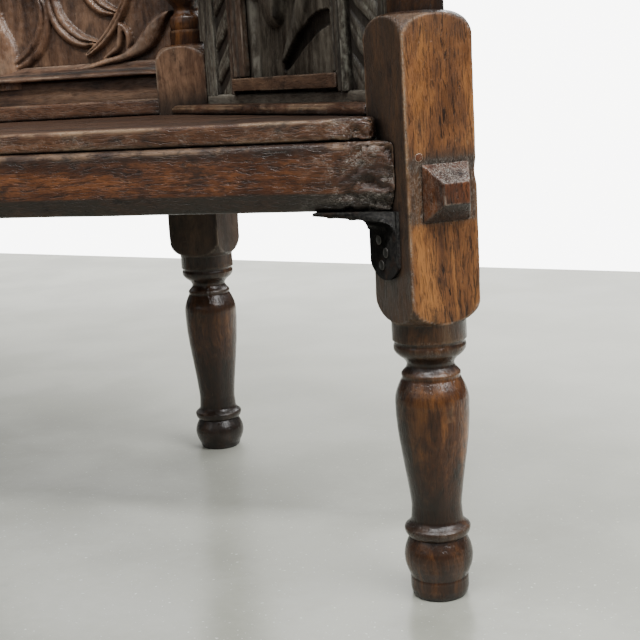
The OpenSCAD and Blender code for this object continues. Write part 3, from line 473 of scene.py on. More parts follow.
# ---- Posts

HALF_POST = 38 * MM
HALF_DIAGONAL = HALF_POST * math.sqrt(2)
# Heights on a post: its ankle ring, the shoulder over its baluster, and just over its lower block's foot and
# just over the seat
ANKLE_Z, SHOULDER_Z, BLOCK_Z, SEAT_Z = 0.092, 0.238, 0.31, 0.5


def lathe_profile(tree, centre, angle, heights):
    """Radius of the turning at each height, felt for from outside along the block's four diagonals."""
    reach = 0.2
    radii = []
    for z in heights:
        best = 0.0
        for k in range(4):
            a = angle + math.pi / 4 + k * math.pi / 2
            out = Vector((math.cos(a), math.sin(a), 0))
            distance = tree.ray_cast(Vector((centre.x, centre.y, z)) + out * reach, -out, reach)[3]
            if distance is not None:
                best = max(best, reach - distance)
        radii.append(best)
    return np.array(radii)


def ring_levels(heights, profile):
    """Which heights get a ring of points: 3 mm apart on a plain block, and 1.5 mm apart where turned."""
    levels, last = [0], 0
    for i in range(1, len(heights)):
        plain = profile[last:i + 1].min() > HALF_DIAGONAL - 0.4 * MM
        if heights[i] - heights[last] >= (3 * MM if plain else 1.5 * MM) - 1e-6 or i == len(heights) - 1:
            levels.append(i)
            last = i
    return levels


def block_radius(turn, half, corner):
    """Distance from the axis to a square block's face in the direction turn; corner rounds its arrises."""
    a = np.abs((turn + math.pi / 4) % (math.pi / 2) - math.pi / 4)
    flat = half / np.cos(a)
    inner = half - corner
    b = inner * (np.cos(a) + np.sin(a))
    arc = b + np.sqrt(np.maximum(b * b - 2 * inner * inner + corner * corner, 0))
    return np.where(np.tan(a) * half <= inner, flat, arc)


def tube(name, x, y, z):
    """A closed skin over rings of points, given as arrays with a row for each ring."""
    index = np.arange(x.size).reshape(x.shape)
    after = np.roll(index, -1, 1)
    quads = np.stack([index[:-1], after[:-1], after[1:], index[1:]], -1).reshape(-1, 4)
    ends = [index[0][::-1].tolist(), index[-1].tolist()]
    mesh = bpy.data.meshes.new(name)
    mesh.from_pydata(np.stack([x, y, z], -1).reshape(-1, 3).tolist(), [], [*quads.tolist(), *ends])
    return mesh


def make_post(kind, centre, angle, block_material, shade_faces, scratch_faces=None):
    """A post as one skin round its axis: at each angle and height the nearer of lathe and block shows.

    shade_faces and scratch_faces give the grime and scratches from turn, height and where the block shows.
    """
    low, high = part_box(kind + "_post_right")
    heights = np.arange(low.z + 0.05 * MM, high.z, 0.75 * MM)
    profile = lathe_profile(solid_tree(kind + "_post_right"), centre, angle, heights)
    levels = ring_levels(heights, profile)
    lathe = profile[levels]
    # A face's points lie closest at its arrises
    tan = np.concatenate([np.linspace(-0.9, 0.9, 19), [-0.999, -0.985, -0.96, 0.96, 0.985, 0.999]])
    face = np.arctan(np.sort(tan))
    turn, z = np.meshgrid(np.concatenate([face + k * math.pi / 2 for k in range(4)]), heights[levels])
    cos, sin = np.cos(turn + angle), np.sin(turn + angle)
    places = np.stack([cos * 0.05, sin * 0.05, z], -1).reshape(-1, 3)

    def uneven(size, seed):
        return lumps(places, size, seed).reshape(turn.shape)

    # The skin
    chips = np.maximum(uneven(0.034, 11.0) - 0.3, 0)
    corner = np.clip(1.4 + 2.0 * uneven(0.021, 3.1) + 18 * chips, 0.6, 6.5) * MM
    square = block_radius(turn, HALF_POST, corner)
    turned = np.repeat(lathe[:, None], turn.shape[1], 1)
    wave = uneven(0.11, 7.0) * 0.5 + uneven(0.013, 1.0) * 0.16
    radius = soft_min(square, turned, 1.6 * MM)
    radius = np.maximum(radius + np.minimum(wave - 0.35, 0.0) * MM, 0.2 * MM)
    mesh = tube(kind + "_post", centre.x + radius * cos, centre.y + radius * sin, z)

    # Its wear on the arrises, on the edges between block and turning, and on the crests of the rings
    in_block = square < turned
    off_middle = np.abs(np.tan((turn + math.pi / 4) % (math.pi / 2) - math.pi / 4)) * HALF_POST
    arris = hump(HALF_POST - off_middle, 0, 1.7 * MM) * in_block
    lip = hump(square, turned, 1.1 * MM) * (turned > 0.97 * HALF_POST)
    bulge = np.gradient(np.gradient(lathe)) / MM
    crest = np.clip(-bulge * 2.2, 0, 1)[:, None] * (~in_block)
    scratches = scratch_faces(turn, z, in_block) if scratch_faces else 0.0
    paint(mesh, "wear", np.clip(arris * 0.4 + lip * 0.7 + crest * 0.25, 0, 1).ravel())
    paint(mesh, "smoke_and_shade", shade_faces(turn, z, in_block).ravel())
    paint(mesh, "chalk", np.maximum(crest * 0.25 + lip * in_block, scratches).ravel())

    # The turnings have a material of their own
    block_row = in_block.any(axis=1)
    turned_face = np.repeat(~(block_row[:-1] | block_row[1:]), turn.shape[1]).astype(int).tolist()
    mesh.polygons.foreach_set("material_index", [*turned_face, 1, 1])
    pair(kind + "_post", mesh, (block_material, LEG_OAK), kind + "_post")


def toward(turn, centre, width):
    """1 where a direction is within width of centre, falling softly to 0."""
    off = np.abs((turn - centre + math.pi) % (2 * math.pi) - math.pi)
    return np.clip((width - off) / 0.12 + 0.5, 0, 1)


def boss_patch(z):
    """1 at the heights of the grey patch round the boss, and 0 elsewhere."""
    low, high = (corner.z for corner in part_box("boss_right"))
    return np.clip((z - low) / (3 * MM) + 0.5, 0, 1) * np.clip((high + 6 * MM - z) / (6 * MM), 0, 1)


def front_tones(turn, z, in_block):
    """The block's face to the seat is black with smoke, and its others are rubbed clean but for the patch.

    The turnings are darker at the ankle and over the shoulder; the baluster is painted lighter on one side
    and darker on the other, as light and shade.
    """
    inner = toward(turn, math.pi / 2, math.pi / 4) * 0.93
    outer = 0.1 + 0.35 * np.clip((z - 0.53) / 0.05, 0, 1) + 0.3 * np.clip((BLOCK_Z - z) / 0.03, 0, 1)
    above = hump(z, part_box("boss_right")[1].z + 3 * MM, 9 * MM)
    outer += (boss_patch(z) * 0.68 + above * 0.6) * toward(turn, math.pi, math.pi / 4)
    # Painted light and shade: the baluster is lighter on one side and darker on the other
    belly_light_and_shade = hump(z, 0.16, 0.065) * (np.cos(turn + 2.4) * 0.6 + 0.12)
    leg = np.where(z > SHOULDER_Z, 0.85, 0.64 - belly_light_and_shade + hump(z, ANKLE_Z, 0.026) * 0.36)
    return np.clip(np.where(in_block, np.maximum(inner, outer), leg), 0, 1)


def front_scratches(turn, z, in_block):
    """The patch round the boss is grey with scratches."""
    return boss_patch(z) * in_block * toward(turn, math.pi, math.pi / 4) * 0.45


def rear_tones(turn, z, in_block):
    """The blocks over the seat are clean in front; all that stands under the seat is black with age."""
    clean = toward(turn, -math.pi / 2, math.pi / 4) * np.clip((z - SEAT_Z) / 0.03, 0, 1)
    turnings = np.where(z > SEAT_Z, 0.4, 0.92 - hump(z, 0.17, 0.05) * 0.42)
    return np.where(in_block, 0.9 - 0.8 * clean, turnings)


# ---- Planks, rails and other squared pieces

DENT = 0.35  # how deep the dents in old timber are, in millimetres


def sharp_points(source, step):
    """Points along the solid's outward sharp edges."""
    form = bmesh.new()
    form.from_mesh(source)
    bmesh.ops.remove_doubles(form, verts=form.verts, dist=0.02 * MM)
    points = []
    for edge in form.edges:
        if len(edge.link_faces) == 2 and edge.calc_face_angle_signed(0) > math.radians(25):
            a, b = (v.co for v in edge.verts)
            count = max(int((a - b).length / step), 1)
            points += [a.lerp(b, (i + 0.5) / count) for i in range(count)]
    form.free()
    return points


def values_of(items, attribute, width, kind=float):
    """One value of all of a mesh's points or edges, as an array with a row for each."""
    values = np.empty(len(items) * width, kind)
    items.foreach_get(attribute, values)
    return values.reshape(-1, width)


def modified(mesh, kind, **settings):
    """The mesh as a modifier leaves it."""
    holder = bpy.data.objects.new("holder", mesh)
    bpy.context.scene.collection.objects.link(holder)
    modifier = holder.modifiers.new("modifier", kind)
    for key, value in settings.items():
        setattr(modifier, key, value)
    shown = holder.evaluated_get(bpy.context.evaluated_depsgraph_get())
    made = bpy.data.meshes.new_from_object(shown)
    bpy.data.objects.remove(holder)
    return made


def relax(co, edges, weight, rounds):
    """Draws each point towards the middle of its neighbours, as far as its weight says."""
    degree = np.maximum(np.bincount(edges.ravel(), minlength=len(co)), 1)[:, None]
    for _ in range(rounds):
        total = np.zeros_like(co)
        np.add.at(total, edges[:, 0], co[edges[:, 1]])
        np.add.at(total, edges[:, 1], co[edges[:, 0]])
        co += (total / degree - co) * weight * 0.7


def weather(node_name, cell, round_width, keep=0.35, change=None, smoke_and_shade=None, chalk=None, tuck=0.0):
    """The node's solid as an old piece of timber: rounded, rubbed and dented, with wear, grime and painted
    shade.

    It is rebuilt from cells and then thinned to the share keep of its faces. change carves its points in
    place; smoke and chalk give each point's grime, with painted shade on some pieces, and its scratches,
    from its place and normal; tuck is how far its upper and lower ends reach into their neighbours, so that
    no light shows between.
    """
    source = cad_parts[node_name].data
    merged = modified(source, "WELD", merge_threshold=0.02 * MM)
    made = modified(merged, "REMESH", mode="VOXEL", voxel_size=cell, adaptivity=0)
    co = values_of(made.vertices, "co", 3)

    # Round its sharp edges, more in some places than in others
    points = sharp_points(source, cell)
    tree = KDTree(len(points))
    for i, point in enumerate(points):
        tree.insert(point, i)
    tree.balance()
    far = np.array([tree.find(p)[2] for p in co])
    reach = round_width * np.clip(1.0 + 0.7 * lumps(co, 0.03, 2.0), 0.5, 2.0)
    weight = np.clip(1.6 - far / reach, 0, 1)[:, None]
    edges = values_of(made.edges, "vertices", 2, int)
    relax(co, edges, weight, max(2, round((round_width / cell) ** 2 * 3)))

    # Dent its faces by less than a millimetre, and carve it
    made.vertices.foreach_set("co", co.ravel())
    made.update()
    normal = values_of(made.vertices, "normal", 3)
    wide = np.minimum(lumps(co, 0.07, 5.0) * DENT - DENT * 0.6, 0)
    push = wide + np.minimum(lumps(co, 0.012, 9.0) + 0.35, 0) * DENT
    co += normal * push[:, None] * MM
    if change:
        change(co, normal)
    if tuck:
        low, high = co[:, 2].min(), co[:, 2].max()
        co[:, 2] += tuck * ((co[:, 2] > high - 3 * MM).astype(float) - (co[:, 2] < low + 3 * MM))
    made.vertices.foreach_set("co", co.ravel())

    paint(made, "wear", hump(far, 0, reach * 0.9))
    if smoke_and_shade:
        paint(made, "smoke_and_shade", smoke_and_shade(co, normal))
    if chalk:
        paint(made, "chalk", chalk(co, normal))
    lean = modified(made, "DECIMATE", ratio=keep)
    lean.name = node_name
    lean.materials.clear()
    return lean


def soften(node_name, width):
    """A small hard piece with its sharp edges rounded and marked as worn."""
    form = bmesh.new()
    form.from_mesh(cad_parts[node_name].data)
    bmesh.ops.remove_doubles(form, verts=form.verts, dist=0.02 * MM)
    bmesh.ops.dissolve_limit(form, angle_limit=math.radians(0.5), verts=form.verts, edges=form.edges)
    sharp = [e for e in form.edges if len(e.link_faces) == 2 and e.calc_face_angle(0) > math.radians(25)]
    rounded = bmesh.ops.bevel(
        form, geom=sharp, offset=width, segments=2, profile=0.5, affect="EDGES", clamp_overlap=True,
    )["faces"]
    layer = form.loops.layers.float.new("wear")
    for face in rounded:
        for loop in face.loops:
            loop[layer] = 1.0
    mesh = bpy.data.meshes.new(node_name)
    form.to_mesh(mesh)
    form.free()
    return mesh


# ---- Carving: reliefs over a face, as arrays over places across it and up it, in millimetres


def curve(points):
    """A smooth line through points of two or more values each."""
    p = np.asarray(points, float)
    p = np.vstack([2 * p[0] - p[1], p, 2 * p[-1] - p[-2]])
    t = np.linspace(0, 1, 10, endpoint=False)[:, None]
    parts = [
        0.5 * (2 * b + (c - a) * t + (2 * a - 5 * b + 4 * c - d) * t ** 2 + (3 * b - a - 3 * c + d) * t ** 3)
        for a, b, c, d in zip(p, p[1:], p[2:], p[3:])
    ]
    return np.vstack([*parts, p[-2]])


def stroke(across, up, points, full=2.5, vein=0.0):
    """From 0 to 1 over a swelling stroke along points of (across, up, half width); vein sinks its middle."""
    line = curve(points)
    share = np.full(across.shape, 9.0)
    for (x0, z0, w0), (x1, z1, w1) in zip(line, line[1:]):
        dx, dz = x1 - x0, z1 - z0
        s = np.clip(((across - x0) * dx + (up - z0) * dz) / (dx * dx + dz * dz), 0, 1)
        off = np.hypot(across - x0 - s * dx, up - z0 - s * dz)
        share = np.minimum(share, off / np.maximum(w0 + (w1 - w0) * s, 0.2))
    body = np.sqrt(np.maximum(1 - share ** full, 0))
    return body * (1 - vein * hump(share, 0, 0.2))


def tool_marks(across, up, size, seed):
    """Shallow facets such as a gouge leaves, about -1 to 1."""
    flat = np.stack([across.ravel(), up.ravel(), np.zeros(across.size)], -1)
    return lumps(flat, size, seed).reshape(across.shape)


# Where the right wing starts, its direction, and the direction square to it, into the bench
START, RUN, INWARD = np.array(FRONT), np.array(ALONG), np.array((-ALONG.y, ALONG.x))
# The width of a wing stile's plain fillet, and how far the rear post's block reaches along the wing
FILLET = 38
BLOCK_CORNER = 38 * math.sqrt(2)
front_low, front_high = (np.array(corner) / MM for corner in wing_box("wing_front_moulding_right"))
rear_low, rear_high = (np.array(corner) / MM for corner in wing_box("wing_rear_moulding_right"))
panel_low, panel_high = (np.array(corner) / MM for corner in wing_box("wing_panel_right"))
# The panel's sunk field: its bounds along the wing and up it, and its depth
FIELD = (front_high[0] + 14, rear_low[0] - 14, panel_low[2], panel_high[2] - 52)
GROUND = 5.0


def wing_relief(u, z):
    """The wing panel's carving, a bud, a ridge and a long scooped leaf: its height, grime with painted shade,
    and wear.
    """
    low_u, high_u, low_z, high_z = FIELD
    inside = np.minimum.reduce([u - low_u, high_u - u, z - low_z + 6, high_z - z])
    field = np.clip(inside / 5 + 0.5, 0, 1)
    bud = stroke(u, z, [(372, 700, 40), (371, 655, 42), (366, 628, 40), (358, 611, 27), (347, 598, 5)], 2.2)
    ridge = stroke(u, z, [
        (341, 546, 4), (323, 563, 9), (307, 579, 12), (295, 594, 14), (282, 615, 16), (268, 650, 18),
    ])
    leaf = stroke(u, z, [
        (343, 535, 2), (335, 540, 5.5), (311, 554, 8.5), (291, 566, 10), (273, 575, 11.5), (252, 583, 11.5),
        (232, 587, 10), (214, 588, 8), (203, 588, 6),
    ], 6)
    height = -GROUND * field + np.maximum(bud * 10, ridge * 4.5) * field - leaf * 4.5
    height += tool_marks(u, z, 9, 4.0) * 0.5 * field + tool_marks(u * 3, z * 0.4, 8, 1.0) * 0.25
    pale = hump(u, high_u + 2, 9) * 0.7
    # Painted shadow beside the bud, and painted shade that makes the leaf's scoop black
    shadow = stroke(u, z, [(340, 700, 7), (341, 655, 8), (339, 622, 9), (345, 598, 5)]) * 0.6
    return height, np.clip(leaf * 8 + shadow + 0.12, 0, 1), np.clip(bud * 0.2 + ridge * 0.2 + pale, 0, 1)


def leaf_band(side, z):
    """A running row of slanting leaves, each cut in behind the next, from 0 to 1; side runs from 0 to 1."""
    pitch, width = 44.0, 52
    line = ((0.0, 0, 7), (0.3, 16, 11), (0.62, 30, 11), (0.9, 50, 7), (1.0, 62, 2))
    best = np.zeros(side.shape)
    for k in range(int(z.min() // pitch) - 1, int(z.max() // pitch) + 2):
        foot = k * pitch
        lift = stroke(side * width, z, [(a * width, foot + b, w) for a, b, w in line], 3, 0.3)
        best = np.maximum(best, lift * (1 - 0.6 * np.clip((z - foot) / 60, 0, 1)))
    return best


def outside(co, normal):
    """Grime of the right wing's pieces: a little inside the bench, much on their outer side."""
    return 0.06 + 0.6 * np.clip(normal[:, :2] @ -INWARD * 2, 0, 1)


def carve_channel(start, end, flip, soot_and_shade):
    """How to cut leaf_band into a stile's channel and reeds into its fillet, with grime in them and painted
    shade.

    flip runs the leaves the other way across, with the fillet beyond the channel's end; soot is painted
    shade, laid all over.
    """

    def measure(co, normal):
        place = (co[:, :2] - START) / MM
        u = place @ RUN
        side = (u - start) / (end - start)
        face = (place @ INWARD > -9) & (normal[:, :2] @ INWARD > 0.5)
        leaf = leaf_band(1 - side if flip else side, co[:, 2] / MM)
        away = (u - end if flip else start - u) / FILLET
        reed = np.maximum.reduce([np.exp(-np.square((away - at) * FILLET / 1.8)) for at in (0.3, 0.62)])
        edge = np.clip(np.minimum(side, 1 - side) * 12, 0, 1)
        return (side > 0) & (side < 1) & face, edge, leaf, reed * face

    def change(co, normal):
        on, edge, leaf, reed = measure(co, normal)
        co[:, :2] += np.outer(((leaf * 5.0 - 1.2) * edge * on - reed * 1.6) * MM, INWARD)

    def smoke_and_shade(co, normal):
        on, edge, leaf, reed = measure(co, normal)
        return np.clip(on * np.clip(1.1 - leaf * 2.2, 0, 1) + reed * 0.7 + soot_and_shade + outside(co, normal), 0, 1)

    return {"change": change, "smoke_and_shade": smoke_and_shade}


def reeds(low, high):
    """How to cut three grooves along a wing's upright moulding, and the grime that lies in them."""

    def groove(co, normal):
        u = (co[:, :2] - START) @ RUN / MM
        cut = np.maximum.reduce([hump(u - low, (high - low) * at, 1.7) for at in (0.2, 0.45, 0.74)])
        return cut * (normal[:, :2] @ INWARD > 0.3)

    def change(co, normal):
        co[:, :2] -= np.outer(groove(co, normal) * 1.8 * MM, INWARD)

    def smoke_and_shade(co, normal):
        return np.clip(groove(co, normal) * 0.85 + outside(co, normal), 0, 1)

    return {"change": change, "smoke_and_shade": smoke_and_shade}


# The back's foliage, right half: each stroke's height, fullness and vein, and its line as places across,
# places up and half widths
FOLIAGE = (
    # the long leaf that lies along the moulding
    (12, 3.0, 0.0, [
        (118, 553, 3), (150, 556, 5), (181, 563, 5), (205, 567, 6), (226, 575, 9), (242, 585, 13),
        (254, 598, 14), (265, 610, 11), (276, 620, 6), (287, 626, 1),
    ]),
    # the curled leaf over it
    (10, 2.5, 0.0, [
        (176, 567, 2), (189, 575, 4), (199, 582, 5), (203, 592, 5), (205, 604, 4.5), (205, 614, 2),
    ]),
    (9, 2.5, 0.0, [(205, 615, 2), (212, 607, 4.5), (217, 597, 5), (217, 587, 4.5), (214, 578, 2)]),
    # the great scroll
    (11, 2.5, 0.3, [
        (150, 575, 4), (170, 588, 6), (187, 603, 7), (199, 618, 7), (209, 632, 7), (218, 652, 7),
        (224, 690, 8), (216, 740, 8), (190, 778, 8), (150, 792, 8), (113, 778, 7), (99, 745, 7),
        (113, 716, 6), (142, 712, 6), (156, 732, 5), (146, 750, 6),
    ]),
    # leaves that spring from it
    (9, 3.0, 0.5, [(222, 672, 4), (246, 694, 11), (266, 720, 11), (279, 752, 1)]),
    (9, 3.0, 0.5, [(210, 752, 4), (236, 776, 11), (262, 796, 10), (281, 832, 1)]),
    (10, 3.0, 0.5, [(176, 788, 4), (190, 822, 12), (222, 848, 13), (256, 872, 9), (282, 908, 1)]),
    (10, 3.0, 0.5, [(140, 794, 4), (138, 830, 12), (160, 868, 14), (196, 898, 10), (236, 922, 1)]),
    (9, 3.0, 0.5, [(108, 776, 4), (88, 812, 12), (92, 856, 13), (120, 900, 9), (150, 932, 1)]),
    (9, 3.0, 0.5, [(100, 742, 3), (74, 734, 10), (54, 706, 11), (50, 668, 1)]),
    (9, 3.0, 0.5, [(206, 628, 3), (176, 640, 11), (152, 668, 12), (136, 696, 2)]),
    (9, 3.0, 0.5, [(168, 590, 3), (136, 596, 11), (108, 620, 13), (96, 656, 10), (104, 690, 1)]),
    # the vase and the flower in the middle
    (13, 2.2, 0.0, [
        (0, 536, 40), (0, 560, 34), (0, 588, 30), (0, 616, 18), (0, 640, 10), (0, 672, 9), (0, 704, 8),
    ]),
    (8, 3.0, 0.5, [(12, 560, 4), (44, 574, 12), (72, 600, 13), (82, 640, 9), (70, 676, 1)]),
    (12, 3.0, 0.5, [(0, 700, 8), (0, 742, 22), (0, 790, 25), (0, 836, 14), (0, 872, 1)]),
    (9, 3.0, 0.5, [(6, 706, 5), (32, 728, 13), (50, 770, 15), (56, 820, 10), (46, 866, 1)]),
    (8, 3.0, 0.5, [(4, 880, 5), (30, 900, 11), (62, 916, 9), (96, 940, 1)]),
)


def back_relief(x, z):
    """The back panel's carving, mirrored about the middle: its height over the board, grime and wear."""
    x = np.abs(x)
    lift = np.zeros(x.shape)
    for rise, full, vein, points in FOLIAGE:
        near = np.abs(x - np.mean([p[0] for p in points])) < 150
        if near.any():
            lift[near] = np.maximum(lift[near], rise * stroke(x[near], z[near], points, full, vein))
    raised = np.clip(lift / 6, 0, 1)
    marks = tool_marks(x, z, 8, 2.0) * 0.6 + tool_marks(x * 3, z * 0.3, 9, 6.0) * 0.3
    height = lift + marks * (0.4 + 0.6 * raised)
    return height, np.clip(0.25 - 0.25 * raised, 0, 1), np.clip(lift / 20 - 0.35, 0, 1)


def carved_board(name, across, up, step, thick, relief, place):
    """A closed board whose face carries a relief, with a point at each step; all but place in millimetres.

    relief gives height, grime with any painted shade, and wear over (across, up); place puts (across, height,
    up) in the bench.
    """
    a, z = (np.linspace(*ends, round((ends[1] - ends[0]) / step) + 1) for ends in (across, up))
    grid_a, grid_z = np.meshgrid(a, z)
    height, smoke_and_shade, wear = relief(grid_a, grid_z)
    index = np.arange(grid_a.size).reshape(grid_a.shape)
    rim = [*index[0, :-1], *index[:-1, -1], *index[-1, :0:-1], *index[:0:-1, 0]]
    points = np.stack([grid_a, height, grid_z], -1).reshape(-1, 3)
    behind = points[rim]
    behind[:, 1] = -thick
    count, first = len(rim), len(points)
    quads = np.stack([index[:-1, :-1], index[:-1, 1:], index[1:, 1:], index[1:, :-1]], -1)
    faces = quads.reshape(-1, 4).tolist()
    faces += [[rim[i], first + i, first + (i + 1) % count, rim[(i + 1) % count]] for i in range(count)]
    faces.append(list(range(first, first + count)))
    mesh = bpy.data.meshes.new(name)
    mesh.from_pydata((np.vstack([points, behind]) * MM).tolist(), [], faces)
    mesh.transform(place)
    form = bmesh.new()
    form.from_mesh(mesh)
    bmesh.ops.recalc_face_normals(form, faces=form.faces)
    form.to_mesh(mesh)
    form.free()
    paint(mesh, "smoke_and_shade", np.concatenate([smoke_and_shade.ravel(), np.full(count, 0.5)]))
    paint(mesh, "wear", np.concatenate([wear.ravel(), np.zeros(count)]))
    return mesh


# ---- Making of the pieces

make_post("front", FRONT, math.atan2(ALONG.y, ALONG.x), POST_OAK, front_tones, front_scratches)
make_post("rear", REAR, 0.0, REAR_OAK, rear_tones)

RAIL_LOW, RAIL_HIGH = (corner.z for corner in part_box("front_seat_rail"))


def near_front_posts(co, start, width):
    """0 up to start before the front posts' axes, on both sides, rising to 1 over width."""
    return np.clip((np.abs(co[:, 0]) - FRONT.x + start) / width, 0, 1)


def rail_smoke(co, normal):
    """Black grime on the bevel, along the upper edge and at the rail's ends."""
    bevel = np.clip((RAIL_LOW + 20 * MM - co[:, 2]) / (2 * MM), 0, 1)
    high = np.clip((co[:, 2] - RAIL_HIGH + 26 * MM) / (26 * MM), 0, 1) * 0.7
    end = near_front_posts(co, 150 * MM, 100 * MM) * 0.7
    return np.maximum.reduce([bevel, high, end, np.full(len(co), 0.12)])


def rail_chalk(co, normal):
    """The rail's ends are scratched."""
    return near_front_posts(co, 125 * MM, 70 * MM)


def knocked(limit, length, deep):
    """Battered ends of a long piece: limit is how far it reaches on each side of the middle."""

    def change(co, normal):
        end = np.clip((np.abs(co[:, 0]) - limit + length) / length, 0, 1) ** 1.5
        dents = np.minimum(lumps(co, 0.011, 4.0) - 0.1, 0) * 0.7 + np.minimum(lumps(co, 0.005, 8.0), 0) * 0.5
        co += normal * (dents * end * deep * (normal[:, 1] < -0.2))[:, None]

    return change


def board_smoke(co, normal):
    """The boards' tops are dark; their front edges are rubbed clean."""
    return np.where(normal[:, 2] > 0.7, 0.5, np.where(normal[:, 2] < -0.7, 0.9, 0.1))


def board_chalk(co, normal):
    """Spots along the front edge, and worn pale ends."""
    return np.maximum(near_front_posts(co, 110 * MM, 50 * MM), np.where(normal[:, 1] < -0.5, 0.4, 0.1))


def boss_flat(normal):
    """Where the boss's flat front is."""
    return normal[:, :2] @ -RUN > 0.9


def boss_chalk(co, normal):
    """The boss is scratched, most of all on its top, but not on its flat front."""
    return np.where(boss_flat(normal), 0.0, np.clip(0.25 + normal[:, 2] * 0.8, 0, 1))


def boss_smoke(co, normal):
    """All the boss's slopes are dark; its flat front is clean."""
    return np.where(boss_flat(normal), 0.0, np.where(normal[:, 2] < -0.3, 0.9, 0.55))


def even(amount):
    """The same amount of grime or scratches all over."""
    return lambda co, normal: np.full(len(co), amount)


ROLL_LOW, ROLL_HIGH = (corner.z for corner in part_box("back_lower_moulding"))
BACK_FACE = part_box("back_lower_rail")[0].y


def roll_groove(z):
    """The groove between the two rolls of the back's lower moulding."""
    return hump(z - ROLL_LOW, (ROLL_HIGH - ROLL_LOW) * 0.42, 2 * MM)


def droop(co, normal):
    """The back's lower moulding is two rolls, worn down at their ends."""
    co[:, 1] += roll_groove(co[:, 2]) * (normal[:, 1] < -0.2) * 2.6 * MM
    end = np.clip((np.abs(co[:, 0]) - REAR.x + HALF_POST + 45 * MM) / (45 * MM), 0, 1)
    front = np.clip((BACK_FACE - co[:, 1]) / (8 * MM), 0, 1)
    co[:, 2] -= end ** 2 * front * np.clip((co[:, 2] - ROLL_LOW) / (10 * MM), 0, 1) * 9 * MM


def roll_smoke(co, normal):
    """Grime lies in the groove."""
    return np.clip(roll_groove(co[:, 2]) * 0.9, 0, 1)


# Single pieces: the size of their cells, how wide their edges are worn, their wood and slot
for single, cell, round_width, material, slot, more in (
    ("front_seat_rail", 2.2 * MM, 3.5 * MM, RAIL_OAK, "oak_rails",
     {"smoke_and_shade": rail_smoke, "chalk": rail_chalk, "change": knocked(FRONT.x - 54 * MM, 45 * MM, 8 * MM)}),
    ("back_seat_rail", 4 * MM, 3 * MM, RAIL_OAK, "oak_rails", {"smoke_and_shade": even(0.8)}),
    ("seat_board_front", 2.0 * MM, 3.5 * MM, SEAT_OAK, "oak_seat",
     {"smoke_and_shade": board_smoke, "chalk": board_chalk, "change": knocked(FRONT.x - 60 * MM, 50 * MM, 7 * MM)}),
    *(("seat_board_" + place, 3 * MM, 3 * MM, SEAT_OAK, "oak_seat",
       {"smoke_and_shade": board_smoke, "chalk": even(0.1)}) for place in ("middle", "back")),
    ("back_lower_rail", 3 * MM, 2 * MM, BACK_OAK, "oak_carved", {"smoke_and_shade": even(0.2)}),
    ("back_top_rail", 3.5 * MM, 2 * MM, BACK_OAK, "oak_carved", {"smoke_and_shade": even(0.3)}),
    ("back_cap", 2.5 * MM, 2 * MM, BACK_OAK, "oak_carved", {"smoke_and_shade": even(0.2)}),
    ("back_batten", 2 * MM, 2 * MM, SEAT_OAK, "oak_seat", {"smoke_and_shade": even(0.3), "chalk": even(0.3)}),
    ("back_lower_moulding", 1.3 * MM, 1.2 * MM, BACK_OAK, "oak_carved",
     {"smoke_and_shade": roll_smoke, "change": droop}),
    ("back_upper_moulding", 1.8 * MM, 1.2 * MM, BACK_OAK, "oak_carved", {"smoke_and_shade": even(0.2)}),
    *(("seat_bearer_" + place, 5 * MM, 3 * MM, SEAT_OAK, "oak_seat", {"smoke_and_shade": even(0.5)})
      for place in ("centre", "right", "left")),
):
    new_piece("worn_" + single, weather(single, cell, round_width, **more), material, [single])

stile_start = wing_box("wing_front_stile_right")[0][0] / MM
stile_end = (REAR - FRONT).length / MM - BLOCK_CORNER
# The last value is painted shade laid all over the stile: some on the front stile, none on the rear
front_channel = carve_channel(stile_start + FILLET, front_low[0], False, 0.25)
rear_channel = carve_channel(rear_high[0], stile_end - FILLET, True, 0.0)
# Pieces in pairs
for both, cell, round_width, material, slot, more in (
    ("side_seat_rail", 4 * MM, 3 * MM, RAIL_OAK, "oak_rails", {"smoke_and_shade": even(0.8)}),
    ("arm", 3 * MM, 3.5 * MM, ARM_OAK, "oak_arms", {"smoke_and_shade": even(0.2)}),
    ("boss", 1.3 * MM, 1.2 * MM, BOSS_OAK, "oak_posts", {"smoke_and_shade": boss_smoke, "chalk": boss_chalk}),
    ("wing_lower_rail", 2.5 * MM, 2 * MM, WING_OAK, "oak_carved", {"smoke_and_shade": outside, "chalk": even(0.12)}),
    ("wing_top_rail", 2.5 * MM, 2 * MM, WING_OAK, "oak_carved", {"smoke_and_shade": outside}),
    ("wing_front_stile", 1.3 * MM, 1.4 * MM, STILE_OAK, "oak_carved",
     {**front_channel, "keep": 0.6, "tuck": 3 * MM}),
    ("wing_rear_stile", 1.3 * MM, 1.4 * MM, STILE_OAK, "oak_carved",
     {**rear_channel, "keep": 0.6, "tuck": 3 * MM}),
    ("wing_front_moulding", 1.3 * MM, 1.2 * MM, STILE_OAK, "oak_carved",
     {**reeds(front_low[0], front_high[0]), "keep": 0.5, "tuck": 2 * MM}),
    ("wing_rear_moulding", 1.3 * MM, 1.2 * MM, MOULD_OAK, "oak_carved",
     {**reeds(rear_high[0], rear_low[0]), "keep": 0.5, "tuck": 2 * MM}),
    ("wing_top_moulding", 1.5 * MM, 1.2 * MM, WING_OAK, "oak_carved", {"smoke_and_shade": outside}),
    ("wing_sill", 1.6 * MM, 1.2 * MM, SILL_OAK, "oak_carved", {"smoke_and_shade": even(0.5)}),
    ("wing_batten", 1.8 * MM, 1.8 * MM, BATTEN_OAK, "oak_seat", {"smoke_and_shade": even(0.2), "chalk": even(0.25)}),
):
    pair("worn_" + both, weather(both + "_right", cell, round_width, **more), material, both)

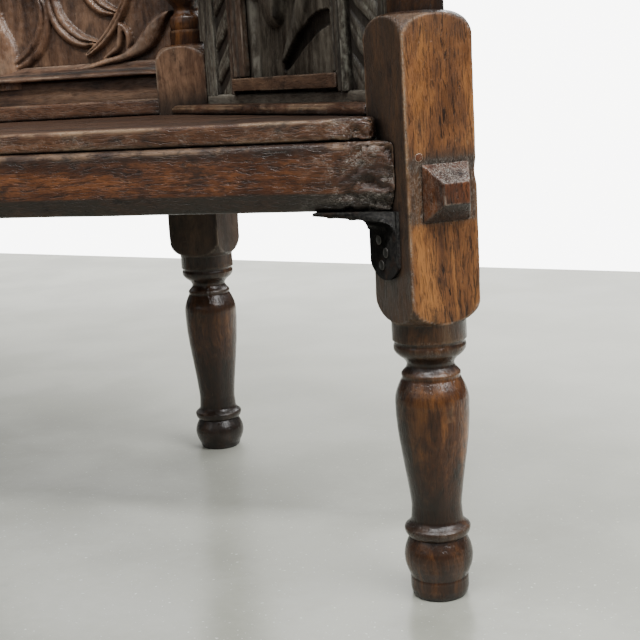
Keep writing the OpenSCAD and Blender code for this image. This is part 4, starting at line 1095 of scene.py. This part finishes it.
# The wing panels, which reach 2.5 mm below their solids behind the sill
panel = carved_board(
    "wing_panel", (panel_low[0], panel_high[0]), (panel_low[2] - 2.5, panel_high[2]), 1.4,
    panel_high[1] - panel_low[1], wing_relief, WING @ Matrix.Translation((0, panel_high[1] * MM, 0)),
)
pair("carved_wing_panel", panel, PANEL_OAK, "wing_panel", 65)

# The back panel, in high relief
back_low, back_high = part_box("back_panel")
facing = Matrix.Translation((0, back_low.y, 0)) @ Matrix.Diagonal((1, -1, 1, 1))
panel = carved_board(
    "back_panel", (back_low.x / MM, back_high.x / MM), (back_low.z / MM, back_high.z / MM), 1.6,
    (back_high.y - back_low.y) / MM, back_relief, facing,
)
new_piece("carved_back_panel", panel, CARVED_OAK, ["back_panel"], 65)

# Ironwork and pegs: how wide their edges are rounded, their material and slot
for small, width, material, slot in (
    ("bracket_right", 0.8 * MM, IRON, "forged_iron"), ("bracket_left", 0.8 * MM, IRON, "forged_iron"),
    ("bracket_nails", 0.7 * MM, IRON, "forged_iron"), ("joint_pegs", 0.35 * MM, BOSS_OAK, "oak_pegs"),
):
    new_piece("worn_" + small, soften(small, width), material, [small], 50)


# ---- The set

make_camera()
bpy.ops.mesh.primitive_grid_add(size=1, x_subdivisions=2, y_subdivisions=2)
floor = bpy.context.object
floor.name = "floor"
floor.scale = FLOOR_SIZE
floor.rotation_euler.z = FLOOR_TURN
half_depth = Matrix.Rotation(FLOOR_TURN, 3, "Z") @ Vector((0, -FLOOR_SIZE[1] / 2, 0))
floor.location = Vector((FRONT.x + FAR_EDGE_X, FRONT.y + FAR_EDGE_Y, 0)) + half_depth
floor.data.materials.append(CONCRETE)

# Lamps: place, target, size and watts
area_light("key", (2.7, -0.9, 2.5), (0.6, 0, 0.4), (2.0, 2.0), 106)
area_light("ceiling", (0.5, -1.6, 2.9), (0.5, 0, 0.2), (1.6, 0.34), 62)
area_light("fill", (-1.6, -3.0, 1.8), (0.3, 0, 0.4), (2.0, 1.6), 8)
area_light("back", (-0.4, 3.4, 2.6), (-0.4, 1.8, 0), (5, 1.6), 150)
make_sky(0.28, 8.0)
